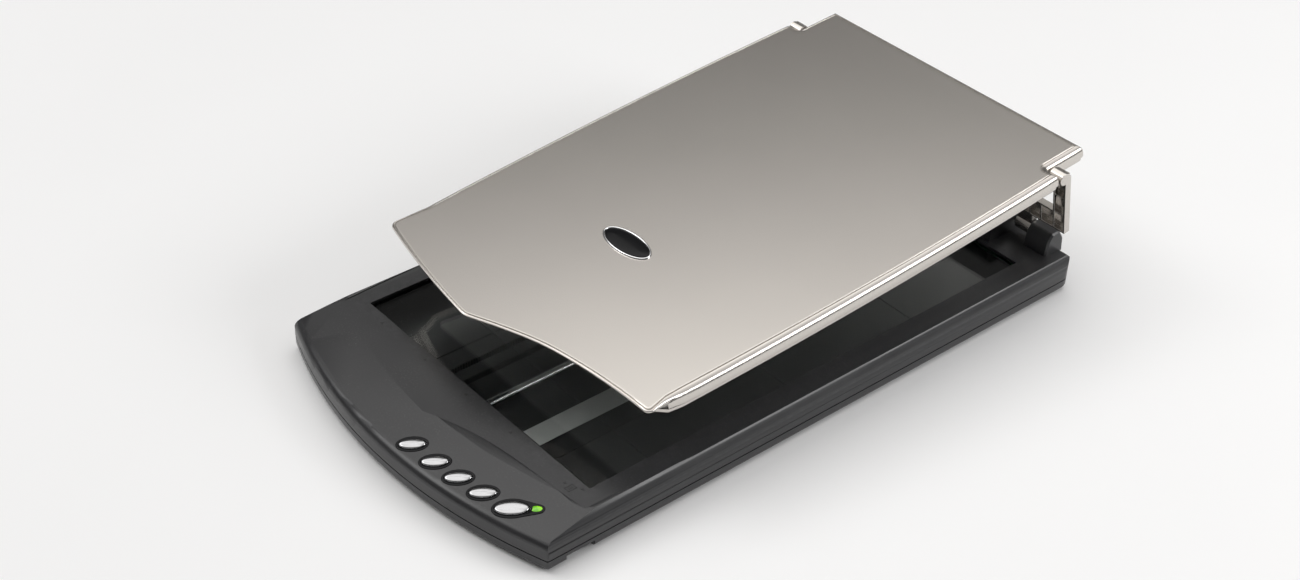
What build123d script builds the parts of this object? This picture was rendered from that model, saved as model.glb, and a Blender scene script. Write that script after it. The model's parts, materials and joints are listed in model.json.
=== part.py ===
from build123d import *
import os
from math import atan2, cos, degrees, pi, radians, sin, sqrt

# Flatbed book scanner with a lid on swing arms.
# Frame: X to the right, Y from the control panel to the hinge, Z up, millimetres.
# The origin is under the middle of the whole part, on the surface that the feet stand on.
# The lid is modelled shut and then carried to its raised rest position.

# ---------------------------------------------------------------- driving dimensions
half_w = 129.0          # half of the base's width
side_len = 438.0        # straight side of the base, front corner to rear wall
nose = 23.0             # how far the curved front stands ahead of its corners
floor_z = 2.0           # underside of the lower housing, above the feet
seam_z = 9.0            # top of the lower housing
seam_gap = 0.8          # height of the shadow groove between the housings
deck_z = 25.6           # deck around the glass
panel_z = 26.1          # rear of the control panel
lip_z = 21.8            # crest along the front of the control panel
wall = 2.2              # wall thickness of the housings

lid_t = 11.7            # lid thickness, with its lower tray
lid_top_z = 38.0        # top of the shut lid
lid_len = 373.0         # lid length at its right-hand side
tongue_w = 115.0        # half width of the lid's tongue between the swing arms
notch_s = 36.0          # length of the tongue
pin_s = 31.0            # lid pin, ahead of the lid's rear edge
pin_drop = 6.0          # lid pin, below the lid's top

arm_reach = 58.5        # hinge axis to lid pin along Y, lid shut
hinge_in = 9.0          # hinge axis, ahead of the rear wall
hinge_z = 34.5          # height of the hinge axis
arm_lift = 79.5         # degrees from shut to raised
lid_tilt = 4.5          # degrees that the raised lid leans down towards the front
pin_r = 2.0             # hinge and lid pins
run_fit = 0.05          # radial clearance of a pin that turns

glass_w = 220.0         # window between the deck's rims
glass_l = 356.0
travel = 360.0          # scan carriage
button_push = 0.6

# ---------------------------------------------------------------- places worked out
pin_z = lid_top_z - pin_drop
lift = radians(arm_lift)
tilt = radians(lid_tilt)
arm_dz = pin_z - hinge_z
raised_dy = -arm_reach * cos(lift) + arm_dz * sin(lift)
raised_dz = arm_reach * sin(lift) + arm_dz * cos(lift)
lid_drop = lid_t - pin_drop
overhang = raised_dy - hinge_in + pin_s * cos(tilt) + lid_drop * sin(tilt)
depth = nose + side_len + overhang

nose_y = -depth / 2
corner_y = nose_y + nose
rear_y = corner_y + side_len
nose_r = (half_w ** 2 + nose ** 2) / (2 * nose)
nose_c = nose_y + nose_r            # centre of the front arc, on the Y axis

hinge_y = rear_y - hinge_in
pin_y = hinge_y - arm_reach
lid_rear = pin_y + pin_s            # rear edge of the shut lid
glass_rear = rear_y - 38.0
glass_front = glass_rear - glass_l
home_y = glass_front - 5.0          # sensor line with the carriage at home

slope_r0 = nose_r - 36.0            # the control panel slopes from here ...
slope_r1 = nose_r - 5.0             # ... to its crest
panel_slope = degrees(atan2(panel_z - lip_z, slope_r1 - slope_r0))

parts = {}


def box(x0, x1, y0, y1, z0, z1):
    """A block given by its limits."""
    block = Box(x1 - x0, y1 - y0, z1 - z0)
    return Pos((x0 + x1) / 2, (y0 + y1) / 2, (z0 + z1) / 2) * block


def rod_x(x0, x1, y, z, r):
    """A cylinder along X."""
    return Pos((x0 + x1) / 2, y, z) * Rot(0, 90, 0) * Cylinder(r, x1 - x0)


def rod_y(x, z, y0, y1, r):
    """A cylinder along Y."""
    return Pos(x, (y0 + y1) / 2, z) * Rot(90, 0, 0) * Cylinder(r, y1 - y0)


def rod_z(x, y, z0, z1, r):
    """A cylinder along Z."""
    return Pos(x, y, (z0 + z1) / 2) * Cylinder(r, z1 - z0)


def both(make):
    """The same piece on the right (+1) and on the left (-1)."""
    return [make(1), make(-1)]


def span(x0, x1, side):
    """X limits of a piece on one side."""
    return (x0, x1) if side > 0 else (-x1, -x0)


def slab(face, z0, z1):
    """A plan outline given thickness."""
    return Pos(0, 0, z0) * extrude(face, z1 - z0)


# ---------------------------------------------------------------- base outline
def base_face(inset, front_round=1.6, rear_round=10.0):
    """Plan of the base, moved inwards by inset."""
    w = half_w - inset
    r = nose_r - inset
    yf = nose_c - sqrt(r * r - w * w)
    yr = rear_y - inset
    front = ThreePointArc((-w, yf), (0, nose_c - r), (w, yf))
    edges = [front, Line((w, yf), (w, yr)), Line((w, yr), (-w, yr)), Line((-w, yr), (-w, yf))]
    face = make_face(edges)
    corners = face.vertices().sort_by(Axis.Y)
    face = fillet(corners[:2], front_round)
    corners = face.vertices().sort_by(Axis.Y)
    return fillet(corners[-2:], rear_round)


# ---------------------------------------------------------------- lower housing
boss_spots = [(sx * 118.0, y) for sx in (1, -1) for y in (home_y + 12, -8.0, rear_y - 62)]
foot_spots = [(sx * 106.0, y) for sx in (1, -1) for y in (corner_y + 22, rear_y - 26)]
lock_x, lock_y = 84.0, home_y - 19
lock_push = 4.0


def lower_housing():
    outer = slab(base_face(0), floor_z, seam_z)
    outer = fillet(outer.faces().sort_by(Axis.Z)[0].edges(), 3.0)
    outer += slab(base_face(0.8), seam_z, seam_z + seam_gap)
    tray = outer - slab(base_face(wall), floor_z + wall, seam_z + 2)
    for side in (1, -1):
        y0 = corner_y + 13
        tray += box(*span(118.5, half_w - 1.5, side), y0 - 3, y0 + 23, floor_z + 1.4, seam_z)
        tray -= box(*span(121.5, half_w + 1, side), y0, y0 + 20, 0, seam_z - 2.4)
    rib_top = floor_z + wall + 0.5
    for y in (-110.0, 0.0, 110.0):
        tray += box(-126, 126, y - 0.8, y + 0.8, floor_z + 1, rib_top)
    for x in (-60, 60):
        tray += box(x - 0.8, x + 0.8, glass_front, glass_rear - 4, floor_z + 1, rib_top)
    for x, y in boss_spots:
        tray += rod_z(x, y, floor_z + 1, 8.0, 4.2)
        tray -= rod_z(x, y, 0, floor_z + 2.8, 3.3)
        tray -= rod_z(x, y, 0, 10, 1.6)
    for x, y in foot_spots:
        tray -= box(x - 11, x + 11, y - 6, y + 6, 0, floor_z + 0.8)
    slot_x0, slot_x1 = lock_x - lock_push - 4.2, lock_x + 4.2
    tray -= box(slot_x0, slot_x1, lock_y - 4, lock_y + 4, 0, floor_z + wall + 1)
    for x, w, h in socket_holes():
        tray -= box(x - w / 2, x + w / 2, rear_y - 4, rear_y + 1, socket_z - h / 2, 12)
    return tray


# ---------------------------------------------------------------- sockets in the rear wall
socket_z = 12.5
usb_x, power_x = 66.0, 92.0


def socket_holes():
    return [(usb_x, 12.6, 11.6), (power_x, 9.6, 11.2)]


# ---------------------------------------------------------------- control panel frames
button_r = nose_r - 12.4
button_turns = {"copy": 2.4, "text": 5.7, "mail": 8.75, "custom": 11.8, "pdf": 15.1}
button_long, button_wide = 8.5, 4.9      # half axes of a small button
slant = 48.0                             # the ovals' long axis, from X towards Y


def panel_height(r):
    return panel_z - (r - slope_r0) * (panel_z - lip_z) / (slope_r1 - slope_r0)


def panel_place(turn, r=button_r):
    """A frame on the sloping panel: Z along its normal, X along the ovals' long axis."""
    x = r * sin(radians(turn))
    y = nose_c - r * cos(radians(turn))
    tip = Rot(0, 0, turn) * Rot(panel_slope, 0, 0)
    return Pos(x, y, panel_height(r)) * tip * Rot(0, 0, slant - turn)


def oval(place, a, b, z0, z1):
    """An oval plug in a panel frame."""
    return place * Pos(0, 0, z0) * extrude(Ellipse(a, b), z1 - z0)


def button_size(name):
    grow = 1.22 if name == "pdf" else 1.0
    return button_long * grow, button_wide * grow


led_shift = 13.8                         # light window, beside the large button


# ---------------------------------------------------------------- upper housing
ridge_w = 83.0
ridge_top = 40.0
knuckle_x0, knuckle_x1 = 99.0, 117.5
bore_end = tongue_w        # the hinge bore stops inside the knuckle
knuckle_top = 41.0


def shoulder(side):
    """What the side's rounded shoulder takes away."""
    a, b = (124.5, deck_z + 0.5), (half_w, 13.0)
    arc = ThreePointArc(a, (127.7, 20.6), b)
    rest = Polyline(b, (half_w + 4, 13.0), (half_w + 4, 32.0), (124.5, 32.0), a)
    face = Plane.XZ * make_face([arc, rest])
    block = extrude(face, 600, both=True)
    return block if side > 0 else mirror(block, Plane.YZ)


def rear_shoulder():
    a, b = (rear_y - 5.0, deck_z + 0.5), (rear_y, 15.0)
    arc = ThreePointArc(a, (rear_y - 1.3, 21.6), b)
    rest = Polyline(b, (rear_y + 4, 15.0), (rear_y + 4, 32.0), (rear_y - 5.0, 32.0), a)
    return extrude(Plane.YZ * make_face([arc, rest]), 200, both=True)


def front_shape():
    """What the sloping panel and its bullnose take away, turned about the front arc's centre."""
    far = nose_r + 40
    top = Line((slope_r0, panel_z), (slope_r1, lip_z))
    nose_arc = ThreePointArc((slope_r1, lip_z), (nose_r - 1.3, 19.6), (nose_r, 14.5))
    rest = Polyline((nose_r, 14.5), (far, 14.5), (far, 40), (slope_r0, 40), (slope_r0, panel_z))
    face = Plane.XZ * make_face([top, nose_arc, rest])
    turned = Pos(0, nose_c, 0) * revolve(face, Axis.Z, 360)
    return turned & box(-200, 200, nose_y - 60, corner_y + 60, 0, 60)


def ridge():
    y0, y1 = rear_y - 34, rear_y - 0.5
    pts = [(y0, 20), (y0, 36.5), (y0 + 4, ridge_top), (y1 - 8, ridge_top), (y1 - 2, 36.5), (y1, 31), (y1, 20)]
    face = Plane.YZ * make_face(Polyline(*pts, close=True))
    hump = extrude(face, ridge_w, both=True)
    return fillet(hump.edges().filter_by(Axis.X).group_by(Axis.Z)[-1], 2.0)


def knuckle(side):
    """A rounded hump over the outer end of the hinge shaft."""
    y, foot = hinge_y, deck_z - 1
    pts = [(y - 9.6, foot), (y - 7.6, 36.0), (y - 4.4, knuckle_top), (y + 3.0, knuckle_top), (y + 7.4, 34.5), (y + 8.4, foot)]
    x0, x1 = span(knuckle_x0, knuckle_x1, side)
    hump = Pos((x0 + x1) / 2, 0, 0) * extrude(Plane.YZ * make_face(Polyline(*pts, close=True)), (x1 - x0) / 2, both=True)
    hump = fillet(hump.edges().filter_by(Axis.X).group_by(Axis.Z)[-1], 2.4)
    outer = hump.faces().sort_by(Axis.X)[-1 if side > 0 else 0]
    return chamfer([e for e in outer.edges() if e.center().Z > foot + 0.5], 1.2)


def upper_housing():
    shell = slab(base_face(0), seam_z + seam_gap, panel_z)
    shell -= shoulder(1)
    shell -= shoulder(-1)
    shell -= rear_shoulder()
    shell -= front_shape()
    shell -= slab(lid_face(-1.0), deck_z, panel_z + 5)
    shell -= box(-half_w, half_w, lid_rear - 60, rear_y + 1, deck_z, panel_z + 5)
    for side in (1, -1):
        shell += knuckle(side)
    shell += ridge()
    # cavity: the walls, then the room under the deck, the panel and the ridge
    shell -= slab(base_face(wall), 0, 14.0)
    under_deck = slab(base_face(6.8), 0, deck_z - wall)
    ahead = Pos(0, nose_c, 0) * Cylinder(slope_r0, 200)
    shell -= under_deck & (ahead + box(-200, 200, 0, 300, -50, 50))
    shell -= slab(base_face(7.5), 0, 19.2)
    y0, y1 = rear_y - 34 + wall, rear_y - 0.5 - wall
    shell -= box(-ridge_w + 6, ridge_w - 6, y0, y1 - 1, 10, ridge_top - 4.2)
    # window over the glass
    shell -= box(-glass_w / 2, glass_w / 2, glass_front, glass_rear, 15, 40)
    # screw bosses
    for x, y in boss_spots:
        shell += rod_z(x, y, 8.0, deck_z - 1, 4.0)
        shell -= rod_z(x, y, 0, deck_z - 3, 1.3)
    # hinge bores
    for side in (1, -1):
        x0, x1 = span(ridge_w - 7, bore_end, side)
        shell -= rod_x(x0, x1, hinge_y, hinge_z, pin_r + run_fit)
    # holes for the buttons, the light window and the sockets
    for name, turn in button_turns.items():
        a, b = button_size(name)
        shell -= oval(panel_place(turn), a + 1.3, b + 1.3, -12, 4)
    shell -= oval(panel_place(button_turns["pdf"]) * Pos(led_shift, -0.6, 0), 4.2, 3.0, -12, 4)
    for x, w, h in socket_holes():
        shell -= box(x - w / 2, x + w / 2, rear_y - 8, rear_y + 1, 5, socket_z + h / 2)
    return shell


# ---------------------------------------------------------------- lid
def lid_face(inset):
    """Plan of the shut lid, moved inwards by inset; a negative inset makes it larger."""
    d = inset

    def at(x, s):
        return (x, lid_rear - s)

    t = tongue_w - d
    sh = notch_s + d
    right_corner = at(120.5 - d, lid_len - 1.5 - d)
    left_corner = at(-120.5 + d, lid_len + 6 - d)
    kink = at(-18.0, lid_len + 24 - d)
    scoop = [kink, at(8, lid_len + 14.0 - d), at(34, lid_len + 6.0 - d),
             at(64, lid_len + 1.2 - d), at(92, lid_len - 1.0 - d), right_corner]
    edges = [
        Spline(*scoop),
        ThreePointArc(right_corner, at(126.3 - d, 190), at(125.5 - d, sh)),
        Line(at(125.5 - d, sh), at(t, sh)),
        Line(at(t, sh), at(t, d)),
        Line(at(t, d), at(-t, d)),
        Line(at(-t, d), at(-t, sh)),
        Line(at(-t, sh), at(-125.5 + d, sh)),
        ThreePointArc(at(-125.5 + d, sh), at(-126.3 + d, 190), left_corner),
        ThreePointArc(left_corner, at(-70, lid_len + 16.6 - d), kink),
    ]
    return make_face(edges)


tray_t = 3.6                        # height of the lid's lower tray
lid_bottom = lid_top_z - lid_t
shell_bottom = lid_bottom + tray_t


def lid_shell():
    body = slab(lid_face(0), shell_bottom, lid_top_z)
    top_edges = body.faces().sort_by(Axis.Z)[-1].edges()
    body = chamfer(top_edges, 1.2)
    body -= slab(lid_face(4.6), lid_top_z - 0.5, lid_top_z + 1) - slab(lid_face(5.2), lid_top_z - 1, lid_top_z + 2)
    body -= slab(lid_face(2.4), shell_bottom - 1, lid_top_z - 2.4)
    for side in (1, -1):
        x0, x1 = span(tongue_w - 8, tongue_w - 0.5, side)
        y0, y1 = lid_rear - notch_s - 2, lid_rear - 20
        body += box(x0, x1, y0, y1, shell_bottom, lid_top_z - 1.2)
        x0, x1 = span(tongue_w - 7.6, tongue_w + 1, side)
        body -= rod_x(x0, x1, pin_y, pin_z, pin_r + run_fit)
    for y in (lid_rear - 120, lid_rear - 240, lid_rear - 330):
        body += box(-118, 118, y - 0.8, y + 0.8, shell_bottom + 1, lid_top_z - 2)
    for x, y in lid_screw_spots:
        body += rod_z(x, y, shell_bottom, lid_top_z - 2, 3.2)
        body -= rod_z(x, y, 0, lid_top_z - 3.4, 1.1)
    return body


lid_screw_spots = [(sx * 108.0, lid_rear - s) for sx in (1, -1) for s in (52.0, 200.0, 356.0)]


def lid_tray():
    body = slab(lid_face(1.2), lid_bottom, shell_bottom)
    body -= slab(lid_face(3.4), lid_bottom + 2.0, shell_bottom + 1)
    for x, y in lid_screw_spots:
        body += rod_z(x, y, lid_bottom + 1, shell_bottom, 3.2)
        body -= rod_z(x, y, 0, lid_bottom + 1.6, 2.3)
        body -= rod_z(x, y, 0, 60, 1.35)
    return body


mat_gap = 2.0
mat_box = (-glass_w / 2 + mat_gap, glass_w / 2 - mat_gap, glass_front + mat_gap, glass_rear - mat_gap)
mat_bottom = deck_z - wall + 0.4


def lid_foam():
    return box(*mat_box, mat_bottom + 0.5, lid_bottom)


def lid_mat():
    return box(*mat_box, mat_bottom, mat_bottom + 0.5)


badge_x, badge_y = -5.0, lid_rear - 283.0
badge_a, badge_b = 20.5, 9.5


def lid_badge_rim():
    outer = extrude(Ellipse(badge_a, badge_b), 1.0)
    ring = outer - extrude(Ellipse(badge_a - 1.6, badge_b - 1.6), 1.0)
    return Pos(badge_x, badge_y, lid_top_z) * ring


def lid_badge():
    plate = extrude(Ellipse(badge_a - 1.7, badge_b - 1.7), 0.8)
    return Pos(badge_x, badge_y, lid_top_z) * plate


def lid_screws():
    made = []
    for x, y in lid_screw_spots:
        screw = rod_z(x, y, lid_bottom + 0.2, lid_bottom + 1.6, 2.1)
        screw += rod_z(x, y, lid_bottom + 1.5, lid_top_z - 4.2, 1.05)
        made.append(screw)
    return made


# ---------------------------------------------------------------- swing arms, modelled shut
leg_x0, leg_x1 = tongue_w + 0.4, 125.6
foot_x0 = 85.5
lug_x1 = 98.2
plate_z0, plate_z1 = 32.5, 37.5
foot_r0, foot_r1 = 12.0, 27.0


def hinge_arm(side):
    boss_r = 4.4
    leg = box(*span(leg_x0, leg_x1, side), pin_y, hinge_y - foot_r0, plate_z0, plate_z1)
    leg += rod_x(*span(leg_x0, leg_x1, side), pin_y, pin_z, boss_r)
    leg += box(*span(leg_x0, leg_x1, side), pin_y - 3.0, pin_y + 4, pin_z, plate_z1 - 1.2)
    foot = box(*span(foot_x0, leg_x1, side), hinge_y - foot_r1, hinge_y - foot_r0, plate_z0, plate_z1)
    lug = box(*span(foot_x0, lug_x1, side), hinge_y - foot_r0 - 1, hinge_y, plate_z0, plate_z1)
    lug += rod_x(*span(foot_x0, lug_x1, side), hinge_y, hinge_z, 5.0)
    arm = leg + foot + lug
    arm -= rod_x(*span(foot_x0 - 1, lug_x1 + 1, side), hinge_y, hinge_z, pin_r + run_fit)
    # ribbed pockets in the underside
    skin = 1.4
    y0, y1 = pin_y + 7, hinge_y - foot_r0 - skin
    arm -= box(*span(leg_x0 + skin, leg_x1 - skin, side), y0, y1, plate_z0 - 1, plate_z1 - skin)
    for x0, x1 in ((87.0, 95.4), (96.6, 105.0), (106.2, leg_x0)):
        pocket = box(*span(x0, x1, side), hinge_y - foot_r1 + skin, y1, plate_z0 - 1, plate_z1 - skin)
        arm -= pocket
    for y in (hinge_y - foot_r1 + skin / 2, hinge_y - foot_r1 - 14):
        rib = box(*span(leg_x0 + 1, leg_x1 - 1, side), y - 0.6, y + 0.6, plate_z0 + 0.4, plate_z1 - 1)
        arm += rib
    return arm


def lid_pin(side):
    return rod_x(*span(tongue_w - 7, leg_x0, side), pin_y, pin_z, pin_r)


def hinge_shaft(side):
    return rod_x(*span(ridge_w - 6.4, bore_end - 0.2, side), hinge_y, hinge_z, pin_r)


hinge_axis = Axis((0, hinge_y, hinge_z), (1, 0, 0))
lid_axis = Axis((0, pin_y, pin_z), (1, 0, 0))


def raise_arm(shape):
    return shape.rotate(hinge_axis, -arm_lift)


def raise_lid(shape):
    tipped = shape.rotate(lid_axis, lid_tilt)
    shift = (0, hinge_y + raised_dy - pin_y, hinge_z + raised_dz - pin_z)
    return Pos(*shift) * tipped


# ---------------------------------------------------------------- glass and its strip
glass_top = deck_z - wall
glass_t = 2.8


def platen_glass():
    e = 3.5
    return box(-glass_w / 2 - e, glass_w / 2 + e, glass_front - e, glass_rear + e, glass_top - glass_t, glass_top)


def calibration_strip():
    return box(-108, 108, glass_front - 13, glass_front - 4.2, glass_top - 0.5, glass_top)


# ---------------------------------------------------------------- scan carriage, at home
bar_half = 111.0
rail_x, rail_z = 0.0, 8.9
rail_r = 2.5
bush_r = 3.8
belt_x, belt_z = -30.0, 10.5
pulley_r = 6.0
belt_t = 1.2
pulley_y = home_y - 31.0
idler_y = glass_rear + 21.0


def scan_carriage():
    y = home_y
    cradle = box(-bar_half - 1.5, bar_half + 1.5, y - 11, y + 11, 5.4, 16.6)
    cradle -= box(-bar_half, bar_half, y - 8.4, y + 8.4, 8.0, 18)
    cradle += box(rail_x - 9, rail_x + 9, y - 12, y + 12, 5.0, 13.2)
    cradle -= rod_y(rail_x, rail_z, y - 13, y + 13, bush_r + 0.1)
    cradle -= box(rail_x - 2.4, rail_x + 2.4, y - 13, y + 13, 3, rail_z)
    cradle -= box(-47, -13, y - 13, y + 13, 4, 13.2)
    return cradle


def sensor_bar():
    y = home_y
    bar = box(-bar_half + 1, bar_half - 1, y - 7.6, y + 7.6, 13.4, 19.0)
    bar -= box(-bar_half + 3, bar_half - 3, y - 1.6, y + 1.6, 14.5, 20)
    bar -= box(-bar_half + 3, bar_half - 3, y + 3.2, y + 5.8, 16.4, 20)
    return bar


def lens_array():
    return box(-bar_half + 4, bar_half - 4, home_y - 1.1, home_y + 1.1, 14.6, 18.8)


def light_guide():
    return box(-bar_half + 4, bar_half - 4, home_y + 3.5, home_y + 5.5, 16.5, 18.9)


def bar_springs():
    made = []
    for x in (-96.0, 96.0):
        ring = rod_z(x, home_y, 8.1, 13.3, 2.6) - rod_z(x, home_y, 8.0, 13.4, 1.9)
        made.append(ring)
    return made


def rail_bushes():
    made = []
    for y in (home_y - 8.6, home_y + 8.6):
        bush = rod_y(rail_x, rail_z, y - 2.6, y + 2.6, bush_r)
        bush -= rod_y(rail_x, rail_z, y - 3, y + 3, rail_r + run_fit)
        bush -= box(rail_x - 1.9, rail_x + 1.9, y - 4, y + 4, 2, rail_z)
        made.append(bush)
    return made


def glide_pads():
    made = []
    for x in (-bar_half + 5, bar_half - 5):
        for y in (home_y - 6.0, home_y + 6.0):
            made.append(box(x - 3, x + 3, y - 1.4, y + 1.4, 19.0, 20.3))
    return made


def belt_clip():
    x = belt_x - pulley_r - belt_t / 2
    clip = box(x - 3.6, x + 3.6, home_y - 5, home_y + 5, 7.4, 13.2)
    return clip - box(x - 0.9, x + 0.9, home_y - 6, home_y + 6, 8.0, 13.0)


# ---------------------------------------------------------------- drive
motor_x, motor_y = belt_x - 20.0, pulley_y
gear_teeth, pinion_teeth, module = 68, 12, 0.5
gear_z0, gear_z1 = 16.9, 18.7


def toothed(teeth, x, y, z0, z1, bore, phase=0.0):
    """A spur wheel with straight-flanked teeth."""
    r = teeth * module / 2
    root, tip = r - 1.15 * module, r + 0.9 * module
    pts = []
    for i in range(teeth):
        mid = 2 * pi * i / teeth + phase
        pitch = 2 * pi / teeth
        for frac, rad in ((-0.27, root), (-0.10, tip), (0.10, tip), (0.27, root)):
            ang = mid + frac * pitch
            pts.append((rad * cos(ang), rad * sin(ang)))
    wheel = extrude(make_face(Polyline(*pts, close=True)), z1 - z0)
    wheel -= Pos(0, 0, (z1 - z0) / 2) * Cylinder(bore, z1 - z0 + 2)
    return Pos(x, y, z0) * wheel


def grooved(x, y, z0, z1, bore):
    """A belt pulley with two flanges."""
    wheel = rod_z(x, y, z0, z1, pulley_r)
    wheel += rod_z(x, y, z0 - 0.8, z0, pulley_r + 1.8)
    wheel += rod_z(x, y, z1, z1 + 0.8, pulley_r + 1.8)
    return wheel - rod_z(x, y, z0 - 3, z1 + 3, bore)


def drive_pulley():
    return grooved(belt_x, pulley_y, belt_z - 2.2, belt_z + 2.2, 1.5 + run_fit)


def reduction_gear():
    wheel = toothed(gear_teeth, belt_x, pulley_y, gear_z0, gear_z1, 1.5 + run_fit)
    hub = rod_z(belt_x, pulley_y, belt_z + 3.0, gear_z0, 4.0)
    return wheel + (hub - rod_z(belt_x, pulley_y, 0, 30, 1.5 + run_fit))


def motor_pinion():
    # a tooth space faces the gear's tooth on the line between the two axes
    wheel = toothed(pinion_teeth, motor_x, motor_y, gear_z0 - 0.2, gear_z1 + 0.2, 0.4, pi / pinion_teeth)
    return wheel + rod_z(motor_x, motor_y, 15.9, 19.1, 1.0)


def idler_pulley():
    return grooved(belt_x, idler_y, belt_z - 2.2, belt_z + 2.2, 1.5 + run_fit)


def drive_belt():
    r0, r1 = pulley_r + 0.06, pulley_r + belt_t
    z0, z1 = belt_z - 2.0, belt_z + 2.0
    outer = box(belt_x - r1, belt_x + r1, pulley_y, idler_y, z0, z1)
    outer += rod_z(belt_x, pulley_y, z0, z1, r1) + rod_z(belt_x, idler_y, z0, z1, r1)
    inner = box(belt_x - r0, belt_x + r0, pulley_y, idler_y, z0 - 1, z1 + 1)
    inner += rod_z(belt_x, pulley_y, z0 - 1, z1 + 1, r0) + rod_z(belt_x, idler_y, z0 - 1, z1 + 1, r0)
    return outer - inner


def drive_motor():
    can = rod_z(motor_x, motor_y, 5.0, 14.2, 12.0)
    can -= rod_z(motor_x, motor_y, 12.0, 15.0, 1.3)
    return can


def motor_bracket():
    x0, x1 = motor_x - 18, motor_x + 13
    plate = box(x0, x1, motor_y - 10, motor_y + 10, 14.2, 15.2)
    plate -= rod_z(motor_x, motor_y, 14, 16, 3.2)
    post = rod_z(x0 + 3, motor_y - 6, floor_z + wall, 14.2, 2.4) + rod_z(x0 + 3, motor_y + 6, floor_z + wall, 14.2, 2.4)
    for y in (motor_y - 6, motor_y + 6):
        plate -= rod_z(x0 + 3, y, 13, 17, 1.3)
        post -= rod_z(x0 + 3, y, 8, 17, 1.2)
    return plate + post


def motor_screws():
    made = []
    for y in (motor_y - 6, motor_y + 6):
        x = motor_x - 15
        made.append(rod_z(x, y, 15.2, 16.2, 2.2) + rod_z(x, y, 9.0, 15.3, 1.15))
    return made


def pulley_axles():
    gear_axle = rod_z(belt_x, pulley_y, floor_z + wall, 19.1, 1.5)
    gear_axle += rod_z(belt_x, pulley_y, floor_z + wall, belt_z - 3.2, 3.0)
    idler_axle = rod_z(belt_x, idler_y, floor_z + wall + 1.2, 14.4, 1.5)
    return [gear_axle, idler_axle]


def idler_bracket():
    y = idler_y
    sled = box(belt_x - 9, belt_x + 9, y - 6, y + 4, floor_z + wall, floor_z + wall + 1.2)
    sled += box(belt_x - 9, belt_x + 9, y + 8.8, y + 10, floor_z + wall, 14)
    return sled + box(belt_x - 9, belt_x + 9, y + 3, y + 9, floor_z + wall, floor_z + wall + 1.2)


def tension_spring():
    x, y = belt_x + 13.0, idler_y + 1
    return rod_y(x, 7.0, y - 6, y + 6, 2.2) - rod_y(x, 7.0, y - 7, y + 7, 1.5)


rail_y0, rail_y1 = home_y - 22.0, home_y + travel + 19.0


def guide_rod():
    return rod_y(rail_x, rail_z, rail_y0, rail_y1, rail_r)


def rod_holders():
    made = []
    for y in (rail_y0, rail_y1 - 5):
        block = box(rail_x - 7, rail_x + 7, y, y + 5, floor_z + wall, 13.0)
        made.append(block - rod_y(rail_x, rail_z, y - 1, y + 6, rail_r))
    return made


# ---------------------------------------------------------------- electronics
board_y0, board_y1 = glass_rear + 15.6, rear_y - wall - 0.6


board_screw_x = (16.0, 54.0)


def main_board():
    board = box(12, 112, board_y0, board_y1, 5.4, 7.0)
    for x in board_screw_x:
        board -= rod_z(x, board_y0 + 4, 5, 8, 1.3)
    return board


def board_chips():
    y = (board_y0 + board_y1) / 2
    chips = [box(x - 6, x + 6, y - 6, y + 6, 7.0, 8.6) for x in (26.0, 42.0)]
    return chips + [rod_z(105.0, y, 7.0, 15.0, 4.0)]


def usb_socket():
    y1 = rear_y - 0.8
    shell = box(usb_x - 6, usb_x + 6, y1 - 14, y1, 7.0, 18.0)
    shell -= box(usb_x - 4.6, usb_x + 4.6, y1 - 10, y1 + 1, 8.6, 16.6)
    return shell + box(usb_x - 3, usb_x + 3, y1 - 11, y1 - 2, 11.2, 14.2)


def power_socket():
    y1 = rear_y - 0.8
    body = box(power_x - 4.5, power_x + 4.5, y1 - 13, y1, 7.0, 18.0)
    body -= rod_y(power_x, socket_z, y1 - 10, y1 + 1, 3.2)
    return body + rod_y(power_x, socket_z, y1 - 11, y1 - 1.5, 1.0)


def board_screws():
    made = []
    for x in board_screw_x:
        y = board_y0 + 4
        made.append(rod_z(x, y, 7.0, 8.2, 2.4) + rod_z(x, y, floor_z + wall, 7.1, 1.2))
    return made


def board_posts():
    made = []
    for x in board_screw_x:
        y = board_y0 + 4
        made.append(rod_z(x, y, floor_z + wall, 5.4, 3.0) - rod_z(x, y, 0, 8, 1.2))
    return made + [rod_z(108.0, board_y0 + 4, floor_z + wall, 5.4, 3.0)]


# button board: one plate along the arc, under the five buttons
pcb_z = 9.6


def button_board():
    outer = Pos(0, nose_c, 0) * Cylinder(button_r + 8, 1.4)
    inner = Pos(0, nose_c, 0) * Cylinder(button_r - 8, 3)
    ring = Pos(0, 0, pcb_z) * (outer - inner)
    return ring & box(4, 108, nose_y - 10, corner_y + 60, 0, 30)


def button_spots():
    return {n: panel_place(t) for n, t in button_turns.items()}


stem_len = 9.4


def stem_foot(name):
    """Where a button's stem ends, pressed or not."""
    place = button_spots()[name]
    return (place * Pos(0, 0, -stem_len)).position


def tact_switches():
    made = []
    for name in button_turns:
        p = stem_foot(name)
        top = p.Z - button_push - 0.45
        body = box(p.X - 3, p.X + 3, p.Y - 3, p.Y + 3, pcb_z + 0.7, top - 0.6)
        made.append(body + rod_z(p.X, p.Y, top - 0.7, top, 1.6))
    return made


def button_board_posts():
    made = []
    for turn in (4.0, 13.4):
        r = button_r - 5
        x, y = r * sin(radians(turn)), nose_c - r * cos(radians(turn))
        made.append(rod_z(x, y, floor_z + wall, pcb_z - 0.7, 2.4))
    return made


def button_surrounds():
    """Dark trims in the panel; the large one runs on round the light window."""
    made = []
    for name, place in button_spots().items():
        a, b = button_size(name)
        trim = oval(place, a + 1.25, b + 1.25, -1.6, 0.35)
        hole = oval(place, a + 0.3, b + 0.3, -2, 2)
        made.append(trim - hole)
    return made


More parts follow.
